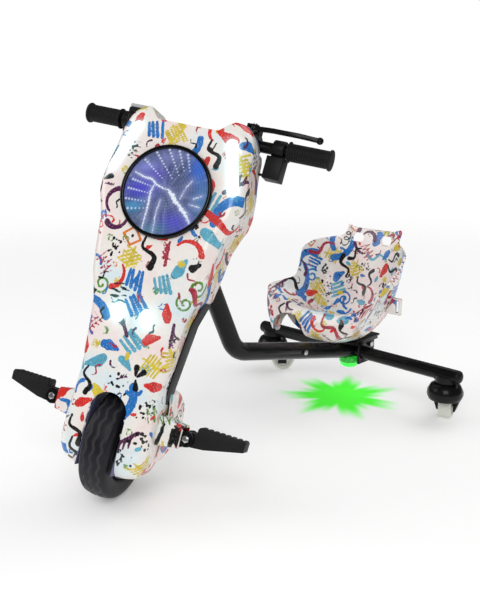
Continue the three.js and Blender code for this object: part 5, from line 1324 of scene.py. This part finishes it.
# switch cable: from the pod into the shell and down to the controller, in metres in the column's frame;
# heights are shares between low and high
cable = {"radius": 0.0025, "high": 0.556, "low": 0.2, "points": [
    (0.1356, 0.002, 1), (0.128, 0.002, 1), (0.118, 0.001, 0.998), (0.108, -0.002, 0.989),
    (0.101, -0.008, 0.961), (0.098, -0.014, 0.913), (0.097, -0.018, 0.843), (0.096, -0.02, 0.73),
    (0.096, -0.021, 0.618), (0.096, -0.022, 0.506), (0.095, -0.022, 0.393), (0.093, -0.023, 0.281),
    (0.089, -0.026, 0.197), (0.08, -0.032, 0.135), (0.072, -0.038, 0.093), (0.066, -0.044, 0.056),
    (0.061, -0.048, 0.025), (0.053, -0.05, 0.004), (0.0449, -0.05, 0)]}


def makeCable():
    low, high = cable["low"], cable["high"]
    route = [columnPlace @ Vector((x, y, low + share * (high - low))) for x, y, share in cable["points"]]
    obj = tubePiece([point / mm for point in route], cable["radius"] / mm, 16)
    finishPiece(obj, "switchCable", "steering", "rubber", "switch_cable", smooth=50)


makeCable()

# floor, white all round and grey only where the scooter's shadow falls
floorLook = {"size": 14.0, "colour": (0.9, 0.9, 0.9), "clear": 1.3, "gone": 3.6, "lift": -0.0006, "lit": 0.16,
             "star": (-0.002, 0.342), "starSize": 0.115, "green": (0.085, 1.0, 0.045), "rays": 7}


# painted light: the green lamp's ragged star is painted on the floor, seen only by camera rays
def starShare(tree, position):
    axes = addNode(tree, "SeparateXYZ")
    link(tree, position, axes.inputs[0])
    across, along = (maths(tree, "DIVIDE", offCentre(tree, axes.outputs[part], floorLook["star"][part]),
                           floorLook["starSize"]) for part in (0, 1))
    turn = maths(tree, "ARCTAN2", along, across)
    broad, fine = (maths(tree, "SINE", product(tree, turn, rays))
                   for rays in (floorLook["rays"], floorLook["rays"] * 2 + 5))
    edge = total(tree, total(tree, product(tree, broad, 0.2), product(tree, fine, 0.09)), 0.95)
    reach = maths(tree, "DIVIDE", planeLength(tree, across, along), edge)
    seen = addNode(tree, "LightPath").outputs["Is Camera Ray"]
    return product(tree, remap(tree, reach, 1.3, 0.62, smooth=True), seen)


def makeFloor():
    obj = primitive(bpy.ops.mesh.primitive_plane_add, size=floorLook["size"])
    obj.name = "floor"
    obj.data.transform(Matrix.Translation((0, 0, floorLook["lift"])))
    material, tree, shader = newMaterial("paleFloor")
    setInputs(shader, {"Roughness": 0.55, "Specular IOR Level": 0.2, "Emission Strength": floorLook["lit"]})
    position = addNode(tree, "TexCoord").outputs["Object"]
    # painted pool of green lamp light on the floor
    star = starShare(tree, position)
    link(tree, mixColour(tree, star, floorLook["colour"], floorLook["green"]), shader.inputs["Base Color"])
    link(tree, mixColour(tree, star, (1.0, 1.0, 1.0), floorLook["green"]), shader.inputs["Emission Color"])
    length = addNode(tree, "VectorMath", operation="LENGTH")
    link(tree, position, length.inputs[0])
    fade, clear = addNode(tree, "MixShader"), addNode(tree, "BsdfTransparent")
    gone = remap(tree, length.outputs["Value"], floorLook["clear"], floorLook["gone"], smooth=True)
    for source, slot in zip((gone, shader.outputs[0], clear.outputs[0]), fade.inputs):
        link(tree, source, slot)
    link(tree, fade.outputs[0], tree.nodes["Material Output"].inputs["Surface"])
    obj.data.materials.append(material)


makeFloor()

# light: a white surround, full for the camera and through glass and weaker for the rest, and three soft lamps
light = {
    "ambient": 0.55, "mirror": 0.13, "aim": (0, -0.05, 0.3), "lamps": [
        {"place": (2.6, -3.2, 3.4), "size": 2.6, "power": 88},
        {"place": (-3.4, -2.6, 2.6), "size": 3.0, "power": 58},
        {"place": (0.6, 3.0, 3.6), "size": 3.2, "power": 48}],
}


def makeLight():
    world = bpy.data.worlds.new("surround")
    bpy.context.scene.world = world
    world.use_nodes = True
    tree = world.node_tree
    background = tree.nodes["Background"]
    rays = addNode(tree, "LightPath").outputs
    seen = maths(tree, "MAXIMUM", rays["Is Camera Ray"], rays["Is Transmission Ray"])
    mirror = product(tree, rays["Is Glossy Ray"], light["mirror"])
    ambient = product(tree, rays["Is Diffuse Ray"], light["ambient"])
    link(tree, total(tree, maths(tree, "MAXIMUM", seen, mirror), ambient), background.inputs["Strength"])
    setInputs(background, {"Color": (1, 1, 1, 1)})
    for index, lamp in enumerate(light["lamps"]):
        data = bpy.data.lights.new("softLamp%d" % index, "AREA")
        data.size = lamp["size"]
        data.energy = lamp["power"]
        obj = linkedObject(data.name, data)
        obj.location = lamp["place"]
        obj.rotation_euler = (Vector(light["aim"]) - obj.location).to_track_quat("-Z", "Y").to_euler()
    bpy.context.scene.view_settings.view_transform = "Standard"


makeLight()
print("stage and light set")
